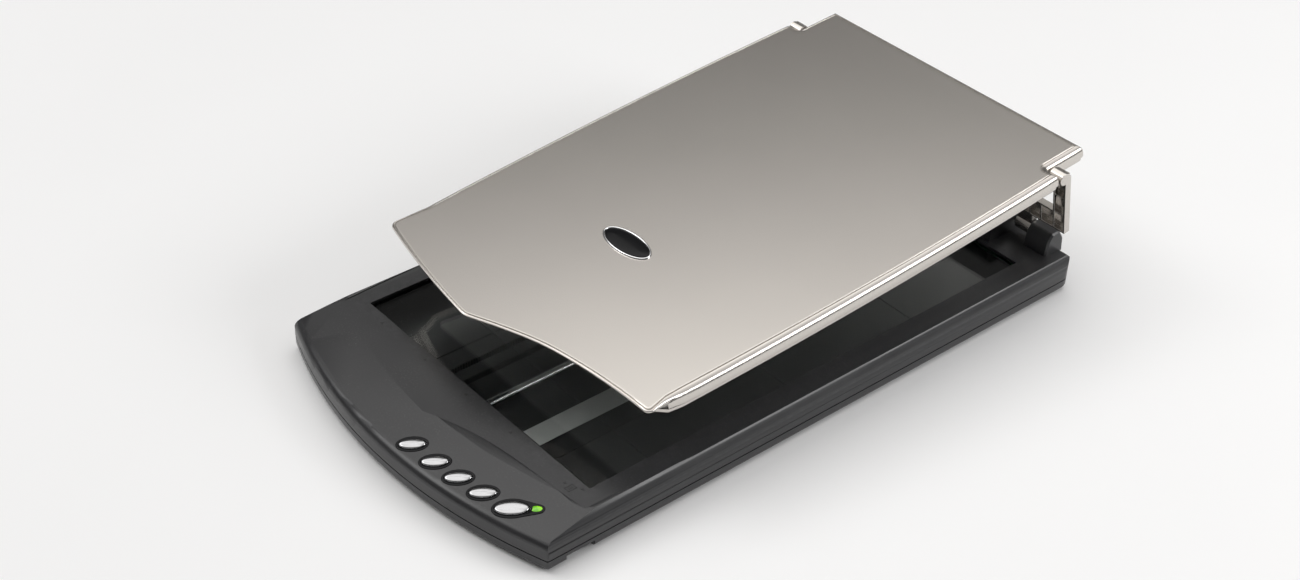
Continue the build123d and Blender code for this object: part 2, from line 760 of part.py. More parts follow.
def led_lens():
    place = button_spots()["pdf"]
    a, b = button_size("pdf")
    lens = oval(place * Pos(led_shift, -0.6, 0), 4.1, 2.9, -2.2, 0.45)
    return lens - oval(place, a + 1.3, b + 1.3, -3, 1)


def button(name):
    a, b = button_size(name)
    place = button_spots()[name]
    cap = oval(place, a, b, -1.7, 1.6)
    rim = cap.edges().sort_by(lambda e: (place.inverse() * e).center().Z)[-1:]
    cap = chamfer(rim, 0.7)
    flange = oval(place, a + 0.9, b + 0.9, -2.9, -1.7)
    stem = place * Pos(0, 0, -(stem_len + 2.5) / 2) * Cylinder(1.4, stem_len - 2.5)
    return cap + flange + stem


def flat_cable():
    """Ribbon along the floor, from the main board to under the carriage at home."""
    z = floor_z + wall + 0.75
    return box(30.0, 46.0, home_y - 9, board_y0 - 0.3, z, z + 0.25)


def home_sensor():
    y = home_y - 16.5
    body = box(58, 70, y - 3, y + 3, floor_z + wall, 8.4)
    return body - box(62.5, 65.5, y - 4, y + 4, 6.2, 9)


def housing_screws():
    made = []
    for x, y in boss_spots:
        screw = rod_z(x, y, floor_z + 0.8, floor_z + 2.8, 3.0)
        screw += rod_z(x, y, floor_z + 2.7, 19.0, 1.25)
        made.append(screw)
    return made


def rubber_feet():
    return [box(x - 10.8, x + 10.8, y - 5.8, y + 5.8, 0, floor_z + 0.8) for x, y in foot_spots]


def lock_slider():
    knob = box(lock_x - 3.8, lock_x + 3.8, lock_y - 3.6, lock_y + 3.6, floor_z - 0.4, floor_z + wall + 0.1)
    plate = box(lock_x - 5.6, lock_x + 5.6, lock_y - 6.5, lock_y + 6.5, floor_z + wall + 0.1, floor_z + wall + 1.3)
    return knob + plate


# ---------------------------------------------------------------- write the nodes
def write():
    parts["lower_housing"] = lower_housing()
    parts["upper_housing"] = upper_housing()
    parts["platen_glass"] = platen_glass()
    parts["calibration_strip"] = calibration_strip()
    parts["rubber_feet"] = rubber_feet()
    parts["housing_screws"] = housing_screws()
    parts["guide_rod"] = guide_rod()
    parts["rod_holders"] = rod_holders()
    parts["drive_motor"] = drive_motor()
    parts["motor_bracket"] = motor_bracket()
    parts["motor_screws"] = motor_screws()
    parts["pulley_axles"] = pulley_axles()
    parts["idler_bracket"] = idler_bracket()
    parts["tension_spring"] = tension_spring()
    parts["drive_belt"] = drive_belt()
    parts["main_board"] = main_board()
    parts["board_chips"] = board_chips()
    parts["board_posts"] = board_posts()
    parts["board_screws"] = board_screws()
    parts["usb_socket"] = usb_socket()
    parts["power_socket"] = power_socket()
    parts["button_board"] = button_board()
    parts["button_board_posts"] = button_board_posts()
    parts["tact_switches"] = tact_switches()
    parts["button_surrounds"] = button_surrounds()
    parts["led_lens"] = led_lens()
    parts["flat_cable"] = flat_cable()
    parts["home_sensor"] = home_sensor()
    parts["lock_slider"] = lock_slider()

    parts["scan_carriage"] = scan_carriage()
    parts["sensor_bar"] = sensor_bar()
    parts["lens_array"] = lens_array()
    parts["light_guide"] = light_guide()
    parts["bar_springs"] = bar_springs()
    parts["rail_bushes"] = rail_bushes()
    parts["glide_pads"] = glide_pads()
    parts["belt_clip"] = belt_clip()
    parts["drive_pulley"] = drive_pulley()
    parts["reduction_gear"] = reduction_gear()
    parts["motor_pinion"] = motor_pinion()
    parts["idler_pulley"] = idler_pulley()

    for name in button_turns:
        parts[name + "_button"] = button(name)

    parts["lid_shell"] = raise_lid(lid_shell())
    parts["lid_tray"] = raise_lid(lid_tray())
    parts["lid_foam"] = raise_lid(lid_foam())
    parts["lid_mat"] = raise_lid(lid_mat())
    parts["lid_badge"] = raise_lid(lid_badge())
    parts["lid_badge_rim"] = raise_lid(lid_badge_rim())
    parts["lid_screws"] = [raise_lid(s) for s in lid_screws()]
    parts["hinge_arm_right"] = raise_arm(hinge_arm(1))
    parts["hinge_arm_left"] = raise_arm(hinge_arm(-1))
    parts["lid_pins"] = [raise_arm(p) for p in both(lid_pin)]
    parts["hinge_shafts"] = both(hinge_shaft)

    os.makedirs("parts", exist_ok=True)
    for name, made in parts.items():
        shape = Compound(children=made) if isinstance(made, list) else made
        export_step(shape, f"parts/{name}.step")


write()
print("hinge axis", round(hinge_y, 3), hinge_z)
print("lid pin, raised", round(hinge_y + raised_dy, 3), round(hinge_z + raised_dz, 3))
print("gear axis", belt_x, round(pulley_y, 3), " motor axis", motor_x, " idler", round(idler_y, 3))
for name, place in button_spots().items():
    normal = (place * Pos(0, 0, 1)).position - place.position
    print(name, [round(v, 4) for v in (normal.X, normal.Y, normal.Z)])
print("depth", round(depth, 3), "home", round(home_y, 3), "glass", round(glass_front, 3), round(glass_rear, 3))
print("nose", round(nose_y, 2), "corner", round(corner_y, 2), "rear", round(rear_y, 2))
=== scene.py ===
# %% [markdown]
# # A flatbed book scanner
# The machine is a dark plastic base with a sheet of glass, and a silver lid that stands over it on two swing
# arms, so that a thick book fits underneath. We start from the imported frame, which fixes every size and every
# joint, and build the finish around it: rounded mouldings, metallic paint, glass, small hardware.
# Everything is in metres, in the frame's own coordinates: X right, Y to the hinge, Z up.

# %% Load the frame
import json
import math

import bmesh
import bpy
from mathutils import Matrix, Vector


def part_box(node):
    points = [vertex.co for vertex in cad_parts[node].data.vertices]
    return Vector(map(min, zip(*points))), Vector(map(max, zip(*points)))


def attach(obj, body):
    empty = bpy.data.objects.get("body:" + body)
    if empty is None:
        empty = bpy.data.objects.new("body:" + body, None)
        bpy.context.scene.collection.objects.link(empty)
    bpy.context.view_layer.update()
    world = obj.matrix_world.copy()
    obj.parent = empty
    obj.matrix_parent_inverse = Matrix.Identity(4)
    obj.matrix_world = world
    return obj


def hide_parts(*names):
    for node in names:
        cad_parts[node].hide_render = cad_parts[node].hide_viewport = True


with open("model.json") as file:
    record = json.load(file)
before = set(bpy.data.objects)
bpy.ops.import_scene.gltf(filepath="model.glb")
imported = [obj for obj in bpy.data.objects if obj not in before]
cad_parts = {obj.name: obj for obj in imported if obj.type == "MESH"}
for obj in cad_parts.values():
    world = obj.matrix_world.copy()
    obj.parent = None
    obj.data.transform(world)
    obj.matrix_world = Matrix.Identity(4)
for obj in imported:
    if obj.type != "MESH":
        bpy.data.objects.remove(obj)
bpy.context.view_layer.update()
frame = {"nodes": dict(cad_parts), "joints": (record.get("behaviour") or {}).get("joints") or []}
nodes = frame["nodes"]
joints = {j["name"]: j for j in frame["joints"]}
mm = 0.001

# %% [markdown]
# ## Places that everything else hangs on
# The lid is easiest to shape lying shut and level. One matrix then carries it to its raised rest position.
# Both the hinge axis and the lid's pin come from the joints, so the pieces land where the frame has them.

# %% Datum values
pin_to_top, pin_to_rear = 6.0 * mm, 31.0 * mm
end_play = 0.1
hinge_at = Vector(joints["arm_lift"]["pos_m"])
pin_raised = Vector(joints["lid_level"]["pos_m"])
arm_swing = math.radians(-joints["arm_lift"]["range_deg"][0])
lid_turn = math.radians(joints["lid_level"]["range_deg"][1] - end_play)
lid_lean = lid_turn - arm_swing
pin_shut = hinge_at + Matrix.Rotation(arm_swing, 4, "X") @ (pin_raised - hinge_at)
lid_top = pin_shut.z + pin_to_top
lid_rear = pin_shut.y + pin_to_rear
raise_lid = Matrix.Translation(pin_raised) @ Matrix.Rotation(lid_lean, 4, "X") @ Matrix.Translation(-pin_shut)
print("lid leans", round(math.degrees(lid_lean), 2), "deg; rear edge shut at y", round(lid_rear, 4))

base_low, base_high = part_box("upper_housing")
half_w = base_high.x
nose_y, rear_y = base_low.y, base_high.y
nose = 23.0 * mm
nose_r = (half_w ** 2 + nose ** 2) / (2 * nose)
nose_c = nose_y + nose_r
deck_z = 25.6 * mm
print("base", [round(v, 4) for v in (half_w, nose_y, rear_y)], "front arc radius", round(nose_r, 4))

# %% [markdown]
# ## Helpers for meshes
# A moulding is a stack of closed outlines, each a little further in or lower than the last. Bridging them
# gives clean quads that follow the part's edge, so highlights run along it without ripples. A subdivided box
# could do it too, but its corners would need much more work to hold their radii.

# %% Mesh helpers
def new_piece(name, bm, body, slot, stands_for=None, smooth=35.0, looks=None):
    """Turns a bmesh into an object that rides on a body and stands for a frame node."""
    mesh = bpy.data.meshes.new(name)
    bmesh.ops.recalc_face_normals(bm, faces=bm.faces)
    bm.to_mesh(mesh)
    bm.free()
    piece = bpy.data.objects.new(name, mesh)
    bpy.context.scene.collection.objects.link(piece)
    for look in looks or [slot]:
        mesh.materials.append(finish[look])
    mesh.shade_smooth()
    mesh.set_sharp_from_angle(angle=math.radians(smooth))
    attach(piece, body)
    if stands_for:
        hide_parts(stands_for)
    return piece


def stack_rings(bm, rings, closed_ends=True):
    """Bridges a list of rings of equal count, and gives back the two end faces."""
    made = [[bm.verts.new(p) for p in ring] for ring in rings]
    count = len(made[0])
    for low, high in zip(made, made[1:]):
        for i in range(count):
            j = (i + 1) % count
            bm.faces.new((low[i], low[j], high[j], high[i]))
    if closed_ends:
        return [bm.faces.new(made[0][::-1]), bm.faces.new(made[-1])]


def circle(count, start=0.0):
    """Evenly spaced angles round a circle."""
    return [start + 2 * math.pi * k / count for k in range(count)]


def smooth_step(t):
    """Eases from 0 to 1."""
    t = min(max(t, 0.0), 1.0)
    return t * t * (3 - 2 * t)


print("mesh helpers ready")

# %% [markdown]
# ## Softened copies of machined shapes
# Many frame parts already have the right shape but razor edges. A real moulding or stamping never has them.
# We copy the part's surface, merge flat triangles back into whole faces, and bevel its sharp edges. The bevel
# is a modifier, so its width can still be changed later.

# %% Softened copy
def softened(node, body, bevel, sharp=32.0, look=None):
    """A copy of a frame node with softened edges, which stands for it; bevel is in millimetres."""
    bm = bmesh.new()
    bm.from_mesh(nodes[node].data)
    bmesh.ops.remove_doubles(bm, verts=bm.verts, dist=0.004 * mm)
    bmesh.ops.dissolve_limit(bm, angle_limit=math.radians(0.8), verts=bm.verts, edges=bm.edges)
    piece = new_piece(node + "_soft", bm, body, slot_of[node], node, sharp, [look or slot_of[node]])
    soft = piece.modifiers.new("edge softening", "BEVEL")
    soft.width = bevel * mm
    soft.segments = 2
    soft.limit_method = "ANGLE"
    soft.angle_limit = math.radians(sharp)
    soft.harden_normals = True
    return piece


print("softening helper ready")

# %% [markdown]
# ## Shader groups used by many finishes
# Fine grain, flakes, worn edges with their painted highlight, and dust turn up on several materials. Each is a
# node group, built once, that puts out colours, values and masks. The material that uses it keeps its own
# Principled shader.

# %% Node helpers
def new_group(name, inputs, outputs):
    """An empty shader group with named sockets, and its two end nodes."""
    group = bpy.data.node_groups.new(name, "ShaderNodeTree")
    for label, kind, value in inputs:
        socket = group.interface.new_socket(label, in_out="INPUT", socket_type="NodeSocket" + kind)
        socket.default_value = value
    for label, kind in outputs:
        group.interface.new_socket(label, in_out="OUTPUT", socket_type="NodeSocket" + kind)
    return group, group.nodes.new("NodeGroupInput").outputs, group.nodes.new("NodeGroupOutput").inputs


def plug(tree, value, socket):
    """Types a number into a socket, or links another socket to it."""
    if isinstance(value, (int, float)):
        socket.default_value = value
    else:
        tree.links.new(value, socket)


def object_place(tree):
    """Coordinates that stay with the object."""
    return tree.nodes.new("ShaderNodeTexCoord").outputs["Object"]


def noise_node(tree, scale, detail, rough, where=None):
    """A noise texture on object coordinates; scale is a number or a socket."""
    tex = tree.nodes.new("ShaderNodeTexNoise")
    tree.links.new(where or object_place(tree), tex.inputs["Vector"])
    plug(tree, scale, tex.inputs["Scale"])
    tex.inputs["Detail"].default_value = detail
    tex.inputs["Roughness"].default_value = rough
    return tex.outputs["Fac"]


def remap(tree, value, low, high, to_low, to_high):
    """Maps a value's range to another, clamped."""
    node = tree.nodes.new("ShaderNodeMapRange")
    labels = ("Value", "From Min", "From Max", "To Min", "To Max")
    for label, v in zip(labels, (value, low, high, to_low, to_high)):
        plug(tree, v, node.inputs[label])
    return node.outputs["Result"]


def combine(tree, operation, a, b):
    """One Math node; a and b are numbers or sockets."""
    node = tree.nodes.new("ShaderNodeMath")
    node.operation = operation
    plug(tree, a, node.inputs[0])
    plug(tree, b, node.inputs[1])
    return node.outputs[0]


print("node helpers ready")

# %% [markdown]
# ## Colours in shader nodes
# To the shader a colour is three numbers, so a Vector Math node can scale it. A Mix node blends two by a mask.

# %% Colour helpers
def scale_colour(tree, colour, factor):
    """Multiplies a colour by a value."""
    node = tree.nodes.new("ShaderNodeVectorMath")
    node.operation = "SCALE"
    tree.links.new(colour, node.inputs[0])
    tree.links.new(factor, node.inputs["Scale"])
    return node.outputs["Vector"]


def mix_colour(tree, mask, a, b):
    """Mixes two colours by a mask; each colour is a tuple or a socket."""
    node = tree.nodes.new("ShaderNodeMix")
    node.data_type = "RGBA"
    tree.links.new(mask, node.inputs["Factor"])
    for label, v in (("A", a), ("B", b)):
        socket = [s for s in node.inputs if s.name == label and s.type == "RGBA"][0]
        if isinstance(v, tuple):
            socket.default_value = (*v, 1.0)
        else:
            tree.links.new(v, socket)
    return [s for s in node.outputs if s.type == "RGBA"][0]


print("colour helpers ready")

# %% [markdown]
# ## Moulded grain
# Injection-moulded housings copy the spark-eroded texture of their mould: a grain of about half a millimetre,
# with slow patches where the gloss changes. One fine noise gives the height, one slow noise the patches.

# %% Moulded grain group
grain_group, given, gives = new_group(
    "moulded_grain",
    [("Colour", "Color", (0.5, 0.5, 0.5, 1)), ("Grain", "Float", 1800.0), ("Patch", "Float", 14.0),
     ("Shade", "Float", 0.12), ("Gloss low", "Float", 0.3), ("Gloss high", "Float", 0.45)],
    [("Colour", "Color"), ("Roughness", "Float"), ("Height", "Float")],
)
fine = noise_node(grain_group, given["Grain"], 3.0, 0.6)
slow = noise_node(grain_group, given["Patch"], 4.0, 0.6)
darker = combine(grain_group, "SUBTRACT", 1.0, given["Shade"])
lighter = combine(grain_group, "ADD", 1.0, given["Shade"])
both = combine(grain_group, "ADD", combine(grain_group, "MULTIPLY", fine, 0.5),
               combine(grain_group, "MULTIPLY", slow, 0.5))
tone = remap(grain_group, both, 0.35, 0.65, darker, lighter)
gloss = remap(grain_group, slow, 0.35, 0.65, given["Gloss low"], given["Gloss high"])
grain_group.links.new(scale_colour(grain_group, given["Colour"], tone), gives["Colour"])
grain_group.links.new(gloss, gives["Roughness"])
grain_group.links.new(fine, gives["Height"])
print("moulded_grain:", len(grain_group.nodes), "nodes")

# %% [markdown]
# ## Metal flakes
# Silver paint is clear lacquer over tiny aluminium plates that each lean their own way. A Voronoi cell per
# flake shifts the colour and gloss a little. Noise would blur one flake into the next.

# %% Flake group
flake_group, given, gives = new_group(
    "metal_flake",
    [("Colour", "Color", (0.6, 0.57, 0.53, 1)), ("Flake", "Float", 2600.0), ("Sparkle", "Float", 0.1),
     ("Gloss low", "Float", 0.28), ("Gloss high", "Float", 0.38)],
    [("Colour", "Color"), ("Roughness", "Float"), ("Height", "Float")],
)
cells = flake_group.nodes.new("ShaderNodeTexVoronoi")
flake_group.links.new(object_place(flake_group), cells.inputs["Vector"])
flake_group.links.new(given["Flake"], cells.inputs["Scale"])
split = flake_group.nodes.new("ShaderNodeSeparateColor")
flake_group.links.new(cells.outputs["Color"], split.inputs["Color"])
low = combine(flake_group, "SUBTRACT", 1.0, given["Sparkle"])
high = combine(flake_group, "ADD", 1.0, given["Sparkle"])
tone = remap(flake_group, split.outputs["Red"], 0.0, 1.0, low, high)
cloud = remap(flake_group, noise_node(flake_group, 6.0, 3.0, 0.55), 0.3, 0.7, 0.975, 1.025)
tone = combine(flake_group, "MULTIPLY", tone, cloud)
gloss = remap(flake_group, split.outputs["Green"], 0.0, 1.0, given["Gloss low"], given["Gloss high"])
flake_group.links.new(scale_colour(flake_group, given["Colour"], tone), gives["Colour"])
flake_group.links.new(gloss, gives["Roughness"])
flake_group.links.new(split.outputs["Blue"], gives["Height"])
print("metal_flake:", len(flake_group.nodes), "nodes")

# %% [markdown]
# ## Worn and highlit edges, and dust
# Edges rub bright or pale, and the same mask paints a highlight along them; the mesh's own sharpness shows
# where.
# Dust settles only where the surface faces up, so its mask starts from the normal's Z.

# %% Edge and dust groups
edge_group, given, gives = new_group("edge_scuffs_and_highlight", [("Amount", "Float", 0.5)], [("Mask", "Float")])
sharp = edge_group.nodes.new("ShaderNodeNewGeometry").outputs["Pointiness"]
ridge = remap(edge_group, sharp, 0.53, 0.62, 0.0, 1.0)
broken = remap(edge_group, noise_node(edge_group, 220.0, 4.0, 0.6), 0.42, 0.62, 0.0, 1.0)
# This edge mask paints edges lighter: partly rub wear, partly a painted edge highlight.
scuffed_and_lit = combine(edge_group, "MULTIPLY", combine(edge_group, "MULTIPLY", ridge, broken), given["Amount"])
edge_group.links.new(scuffed_and_lit, gives["Mask"])

dust_group, given, gives = new_group("settled_dust", [("Amount", "Float", 0.2)], [("Mask", "Float")])
facing = dust_group.nodes.new("ShaderNodeSeparateXYZ")
dust_group.links.new(dust_group.nodes.new("ShaderNodeNewGeometry").outputs["Normal"], facing.inputs["Vector"])
upward = remap(dust_group, facing.outputs["Z"], 0.55, 1.0, 0.0, 1.0)
specks = remap(dust_group, noise_node(dust_group, 900.0, 2.0, 0.7), 0.56, 0.74, 0.0, 1.0)
haze = remap(dust_group, noise_node(dust_group, 22.0, 5.0, 0.6), 0.4, 0.7, 0.1, 1.0)
lying = combine(dust_group, "MULTIPLY", combine(dust_group, "MULTIPLY", specks, haze), upward)
dust_group.links.new(combine(dust_group, "MULTIPLY", lying, given["Amount"]), gives["Mask"])
print("groups:", [g.name for g in bpy.data.node_groups])

# %% [markdown]
# ## Turning groups into finishes
# Every finish is a Principled shader with the groups plugged into Base Color, Roughness and a Bump node.
# Values that are the same all over the surface are typed straight into the shader's own sockets.

# %% Finish builder
finish = {}


def start_finish(name, **fixed):
    """A new material with its Principled shader; fixed values go straight on its sockets."""
    material = bpy.data.materials.new(name)
    material.use_nodes = True
    shader = material.node_tree.nodes["Principled BSDF"]
    for label, value in fixed.items():
        shader.inputs[label.replace("_", " ")].default_value = value
    finish[name] = material
    return material.node_tree, shader


def place_group(tree, group, **values):
    """Places a group in a material with its own values."""
    node = tree.nodes.new("ShaderNodeGroup")
    node.node_tree = group
    for label, value in values.items():
        node.inputs[label.replace("_", " ")].default_value = value
    return node.outputs


def dress(tree, shader, colour, rough, height=None, strength=0.0, distance=0.0):
    """Links a colour and a roughness to the shader, and a height through a bump node."""
    tree.links.new(colour, shader.inputs["Base Color"])
    tree.links.new(rough, shader.inputs["Roughness"])
    if height is not None:
        node = tree.nodes.new("ShaderNodeBump")
        node.inputs["Strength"].default_value = strength
        node.inputs["Distance"].default_value = distance
        tree.links.new(height, node.inputs["Height"])
        tree.links.new(node.outputs["Normal"], shader.inputs["Normal"])


def plastic(name, colour, grain, gloss, shade=0.08, depth=0.25, dust=0.12, wear=0.25, **fixed):
    """A moulded plastic: grain, soft edge wear with a painted edge highlight, and a little dust."""
    tree, shader = start_finish(name, **fixed)
    base = place_group(tree, grain_group, Colour=(*colour, 1), Grain=grain, Shade=shade,
                       Gloss_low=gloss[0], Gloss_high=gloss[1])
    pale = tuple(min(1.0, c * 1.9 + 0.02) for c in colour)
    # Edges are painted paler: partly rub wear, partly a painted edge highlight.
    tinted = mix_colour(tree, place_group(tree, edge_group, Amount=wear)["Mask"], base["Colour"], pale)
    dusty = mix_colour(tree, place_group(tree, dust_group, Amount=dust)["Mask"], tinted, (0.45, 0.43, 0.4))
    dress(tree, shader, dusty, base["Roughness"], base["Height"], depth, 0.00005)


def painted(name, colour, sparkle, gloss, metal=0.9, wear=0.3):
    """A metallic paint: flakes under lacquer, with edges painted brighter, partly as rub wear and partly as a
    painted highlight.
    """
    tree, shader = start_finish(name, Metallic=metal)
    base = place_group(tree, flake_group, Colour=(*colour, 1), Sparkle=sparkle, Gloss_low=gloss[0],
                       Gloss_high=gloss[1])
    bright = tuple(min(1.0, c * 1.25) for c in colour)
    # Edges are painted brighter: partly rub wear, partly a painted edge highlight.
    scuffed_and_highlit = mix_colour(tree, place_group(tree, edge_group, Amount=wear)["Mask"], base["Colour"], bright)
    dress(tree, shader, scuffed_and_highlit, base["Roughness"], base["Height"], 0.02, 0.000004)


plastic("charcoal_plastic", (0.024, 0.024, 0.026), 1500.0, (0.28, 0.35), depth=0.18, Specular_IOR_Level=0.6)
plastic("black_plastic", (0.016, 0.016, 0.017), 1300.0, (0.38, 0.5), depth=0.3)
plastic("natural_plastic", (0.62, 0.58, 0.48), 900.0, (0.3, 0.45), wear=0.1, Subsurface_Weight=0.15)
plastic("blue_plastic", (0.10, 0.16, 0.34), 700.0, (0.3, 0.42), wear=0.1)
plastic("black_rubber", (0.022, 0.021, 0.021), 2600.0, (0.62, 0.8), depth=0.5, shade=0.15, dust=0.3)
plastic("white_mat", (0.80, 0.80, 0.78), 2400.0, (0.45, 0.6), shade=0.015, depth=0.12, wear=0.0)
plastic("white_strip", (0.82, 0.82, 0.80), 3000.0, (0.5, 0.6), shade=0.01, depth=0.1, wear=0.0)
painted("silver_plastic", (0.60, 0.568, 0.532), 0.01, (0.20, 0.225), wear=0.1)
painted("silver_button", (0.46, 0.46, 0.47), 0.03, (0.14, 0.2), metal=1.0)
print("plastics and paints:", sorted(finish))

# %% [markdown]
# ## Glass, gloss black and the light's lens
# Glass keeps plain numbers for Metallic and Transmission, and only its smudges change over the surface. The
# lens of the light is a green plastic with an uneven glow, as if a small lamp sat under it.

# %% Clear and glossy finishes
def glass(name, colour, smudge, ior):
    """A clear solid with faint smudges in its gloss."""
    tree, shader = start_finish(name, Transmission_Weight=1.0, Metallic=0.0, IOR=ior)
    shader.inputs["Base Color"].default_value = (*colour, 1)
    wiped = noise_node(tree, 30.0, 5.0, 0.65)
    tree.links.new(remap(tree, wiped, 0.5, 0.75, 0.0, smudge), shader.inputs["Roughness"])


glass("clear_glass", (0.96, 0.985, 0.97), 0.06, 1.5)
glass("clear_lens", (0.9, 0.95, 0.96), 0.12, 1.49)

tree, shader = start_finish("gloss_black", Specular_IOR_Level=0.12)
lacquer = place_group(tree, grain_group, Colour=(0.010, 0.010, 0.011, 1), Grain=500.0, Shade=0.1,
                      Gloss_low=0.08, Gloss_high=0.16)
dress(tree, shader, lacquer["Colour"], lacquer["Roughness"])

tree, shader = start_finish("green_lens", Emission_Strength=0.45, IOR=1.49, Coat_Weight=0.5)
uneven = noise_node(tree, 260.0, 2.0, 0.5)
glow = mix_colour(tree, remap(tree, uneven, 0.35, 0.65, 0.0, 1.0), (0.09, 0.36, 0.0), (0.28, 0.66, 0.01))
dress(tree, shader, glow, remap(tree, uneven, 0.3, 0.7, 0.15, 0.3))
tree.links.new(glow, shader.inputs["Emission Color"])
print("clear finishes:", [n for n in finish if "clear" in n or "lens" in n])

# %% [markdown]
# ## Metals
# Zinc shows crystals, and a drawn rod shows lengthwise lines. Both come from the same noise, which is squeezed
# along one axis for the rod.

# %% Metal finishes
def metal(name, colour, stretch, scale, gloss, shade=0.12, depth=0.1):
    """A bare metal; stretch draws its marks out along one axis."""
    tree, shader = start_finish(name, Metallic=1.0)
    drawn = tree.nodes.new("ShaderNodeVectorMath")
    drawn.operation = "MULTIPLY"
    tree.links.new(object_place(tree), drawn.inputs[0])
    drawn.inputs[1].default_value = stretch
    marks = noise_node(tree, scale, 3.0, 0.6, drawn.outputs["Vector"])
    dark = tuple(c * (1 - shade) for c in colour)
    bright = tuple(min(1, c * 1.2) for c in colour)
    body = mix_colour(tree, remap(tree, marks, 0.35, 0.65, 0.0, 1.0), dark, colour)
    # Edges are painted brighter: partly rub wear, partly a painted edge highlight.
    scuffed_and_highlit = mix_colour(tree, place_group(tree, edge_group, Amount=0.4)["Mask"], body, bright)
    dress(tree, shader, scuffed_and_highlit, remap(tree, marks, 0.3, 0.7, *gloss), marks, depth, 0.00003)


metal("zinc_steel", (0.60, 0.61, 0.63), (1, 1, 1), 420.0, (0.28, 0.42), shade=0.2)
metal("polished_rod", (0.72, 0.72, 0.73), (1, 0.02, 1), 900.0, (0.12, 0.22), shade=0.06)
metal("bright_chrome", (0.86, 0.86, 0.87), (1, 1, 1), 200.0, (0.05, 0.1), shade=0.03, depth=0.02)
metal("brass", (0.80, 0.60, 0.28), (1, 1, 1), 500.0, (0.2, 0.32))
print("metals ready")

# %% [markdown]
# ## Foam and circuit board
# Open foam shows pores, which are Voronoi cells, and each pore is painted darker in its pit as painted shade. A
# board shows its copper tracks through green lacquer, and a brick pattern stands for them.

# %% Foam and circuit board
tree, shader = start_finish("grey_foam", Sheen_Weight=0.2)
pores = tree.nodes.new("ShaderNodeTexVoronoi")
pores.inputs["Scale"].default_value = 1400.0
tree.links.new(object_place(tree), pores.inputs["Vector"])
pit = remap(tree, pores.outputs["Distance"], 0.05, 0.5, 0.0, 1.0)
# The pits are painted darker: painted shade in the pores. The same mask gives their roughness and bump.
dress(tree, shader, mix_colour(tree, pit, (0.10, 0.10, 0.105), (0.27, 0.27, 0.28)),
      remap(tree, pit, 0.0, 1.0, 0.95, 0.8), pit, 0.6, 0.0002)

tree, shader = start_finish("green_board", Coat_Weight=0.3, Coat_Roughness=0.15)
tracks = tree.nodes.new("ShaderNodeTexBrick")
for label, value in (("Scale", 130.0), ("Mortar Size", 0.035), ("Brick Width", 1.7), ("Row Height", 0.22)):
    tracks.inputs[label].default_value = value
tree.links.new(object_place(tree), tracks.inputs["Vector"])
copper = tracks.outputs["Fac"]
dress(tree, shader, mix_colour(tree, copper, (0.010, 0.075, 0.026), (0.03, 0.19, 0.06)),
      remap(tree, copper, 0.0, 1.0, 0.35, 0.25), copper, 0.3, 0.00005)
print("finishes:", len(finish))

# %% [markdown]
# ## Carried-over parts take their finishes
# The frame's parts keep their shapes, and each takes the finish that its slot names. Whatever gets a better
# mesh later is replaced piece by piece, so nothing is ever left with a plain colour.

# %% Finish every frame part
slot_of = {}
for name, node in nodes.items():
    for hole in node.material_slots:
        slot_of[name] = hole.material.name.split(".")[0]
        hole.material = finish[slot_of[name]]
    node.data.shade_smooth()
    node.data.set_sharp_from_angle(angle=math.radians(30))
print("slots used:", sorted(set(slot_of.values())))

# %% [markdown]
# ## The lid's outline
# The lid is a bow-fronted sheet with a scoop at its right, and a tongue that reaches back between the arms.
# One function gives that outline at any inset: straight runs, arcs and the scoop's curve, with every corner
# rounded. All rings have the same number of points, so they bridge into clean quads.

# %% Outline helpers
def arc_through(a, b, c, steps):
    """Points on the circle through three points, from the first to the last."""
    ax, ay, bx, by, cx, cy = *a, *b, *c
    d = 2 * (ax * (by - cy) + bx * (cy - ay) + cx * (ay - by))
    a2, b2, c2 = ax * ax + ay * ay, bx * bx + by * by, cx * cx + cy * cy
    ux = (a2 * (by - cy) + b2 * (cy - ay) + c2 * (ay - by)) / d
    uy = (a2 * (cx - bx) + b2 * (ax - cx) + c2 * (bx - ax)) / d
    r = math.hypot(ax - ux, ay - uy)
    t0 = math.atan2(ay - uy, ax - ux)
    t2 = math.atan2(cy - uy, cx - ux)
    sweep = (t2 - t0 + math.pi) % (2 * math.pi) - math.pi
    return [Vector((ux + r * math.cos(t0 + sweep * i / steps), uy + r * math.sin(t0 + sweep * i / steps)))
            for i in range(steps + 1)]


def straight(a, b, steps):
    """Points along a line, both ends included."""
    return [a.lerp(b, i / steps) for i in range(steps + 1)]


def curve_through(points, steps):
    """A smooth curve through a few points (centripetal Catmull-Rom)."""
    p = [points[0] * 2 - points[1]] + points + [points[-1] * 2 - points[-2]]
    out = []
    for i in range(1, len(p) - 2):
        t = [0.0]
        for k in range(i - 1, i + 2):
            t.append(t[-1] + (p[k + 1] - p[k]).length ** 0.5)
        for n in range(steps):
            u = t[1] + (t[2] - t[1]) * n / steps
            a1 = p[i - 1].lerp(p[i], (u - t[0]) / (t[1] - t[0]))
            a2 = p[i].lerp(p[i + 1], (u - t[1]) / (t[2] - t[1]))
            a3 = p[i + 1].lerp(p[i + 2], (u - t[2]) / (t[3] - t[2]))
            b1 = a1.lerp(a2, (u - t[0]) / (t[2] - t[0]))
            b2 = a2.lerp(a3, (u - t[1]) / (t[3] - t[1]))
            out.append(b1.lerp(b2, (u - t[1]) / (t[2] - t[1])))
    return out + [p[-2]]


print("outline helpers ready")

# %% [markdown]
# ## Rounded corners
# Each run is trimmed where it meets its neighbours, and a short arc fills the gap. Every corner gets the same
# number of points, whatever its radius.

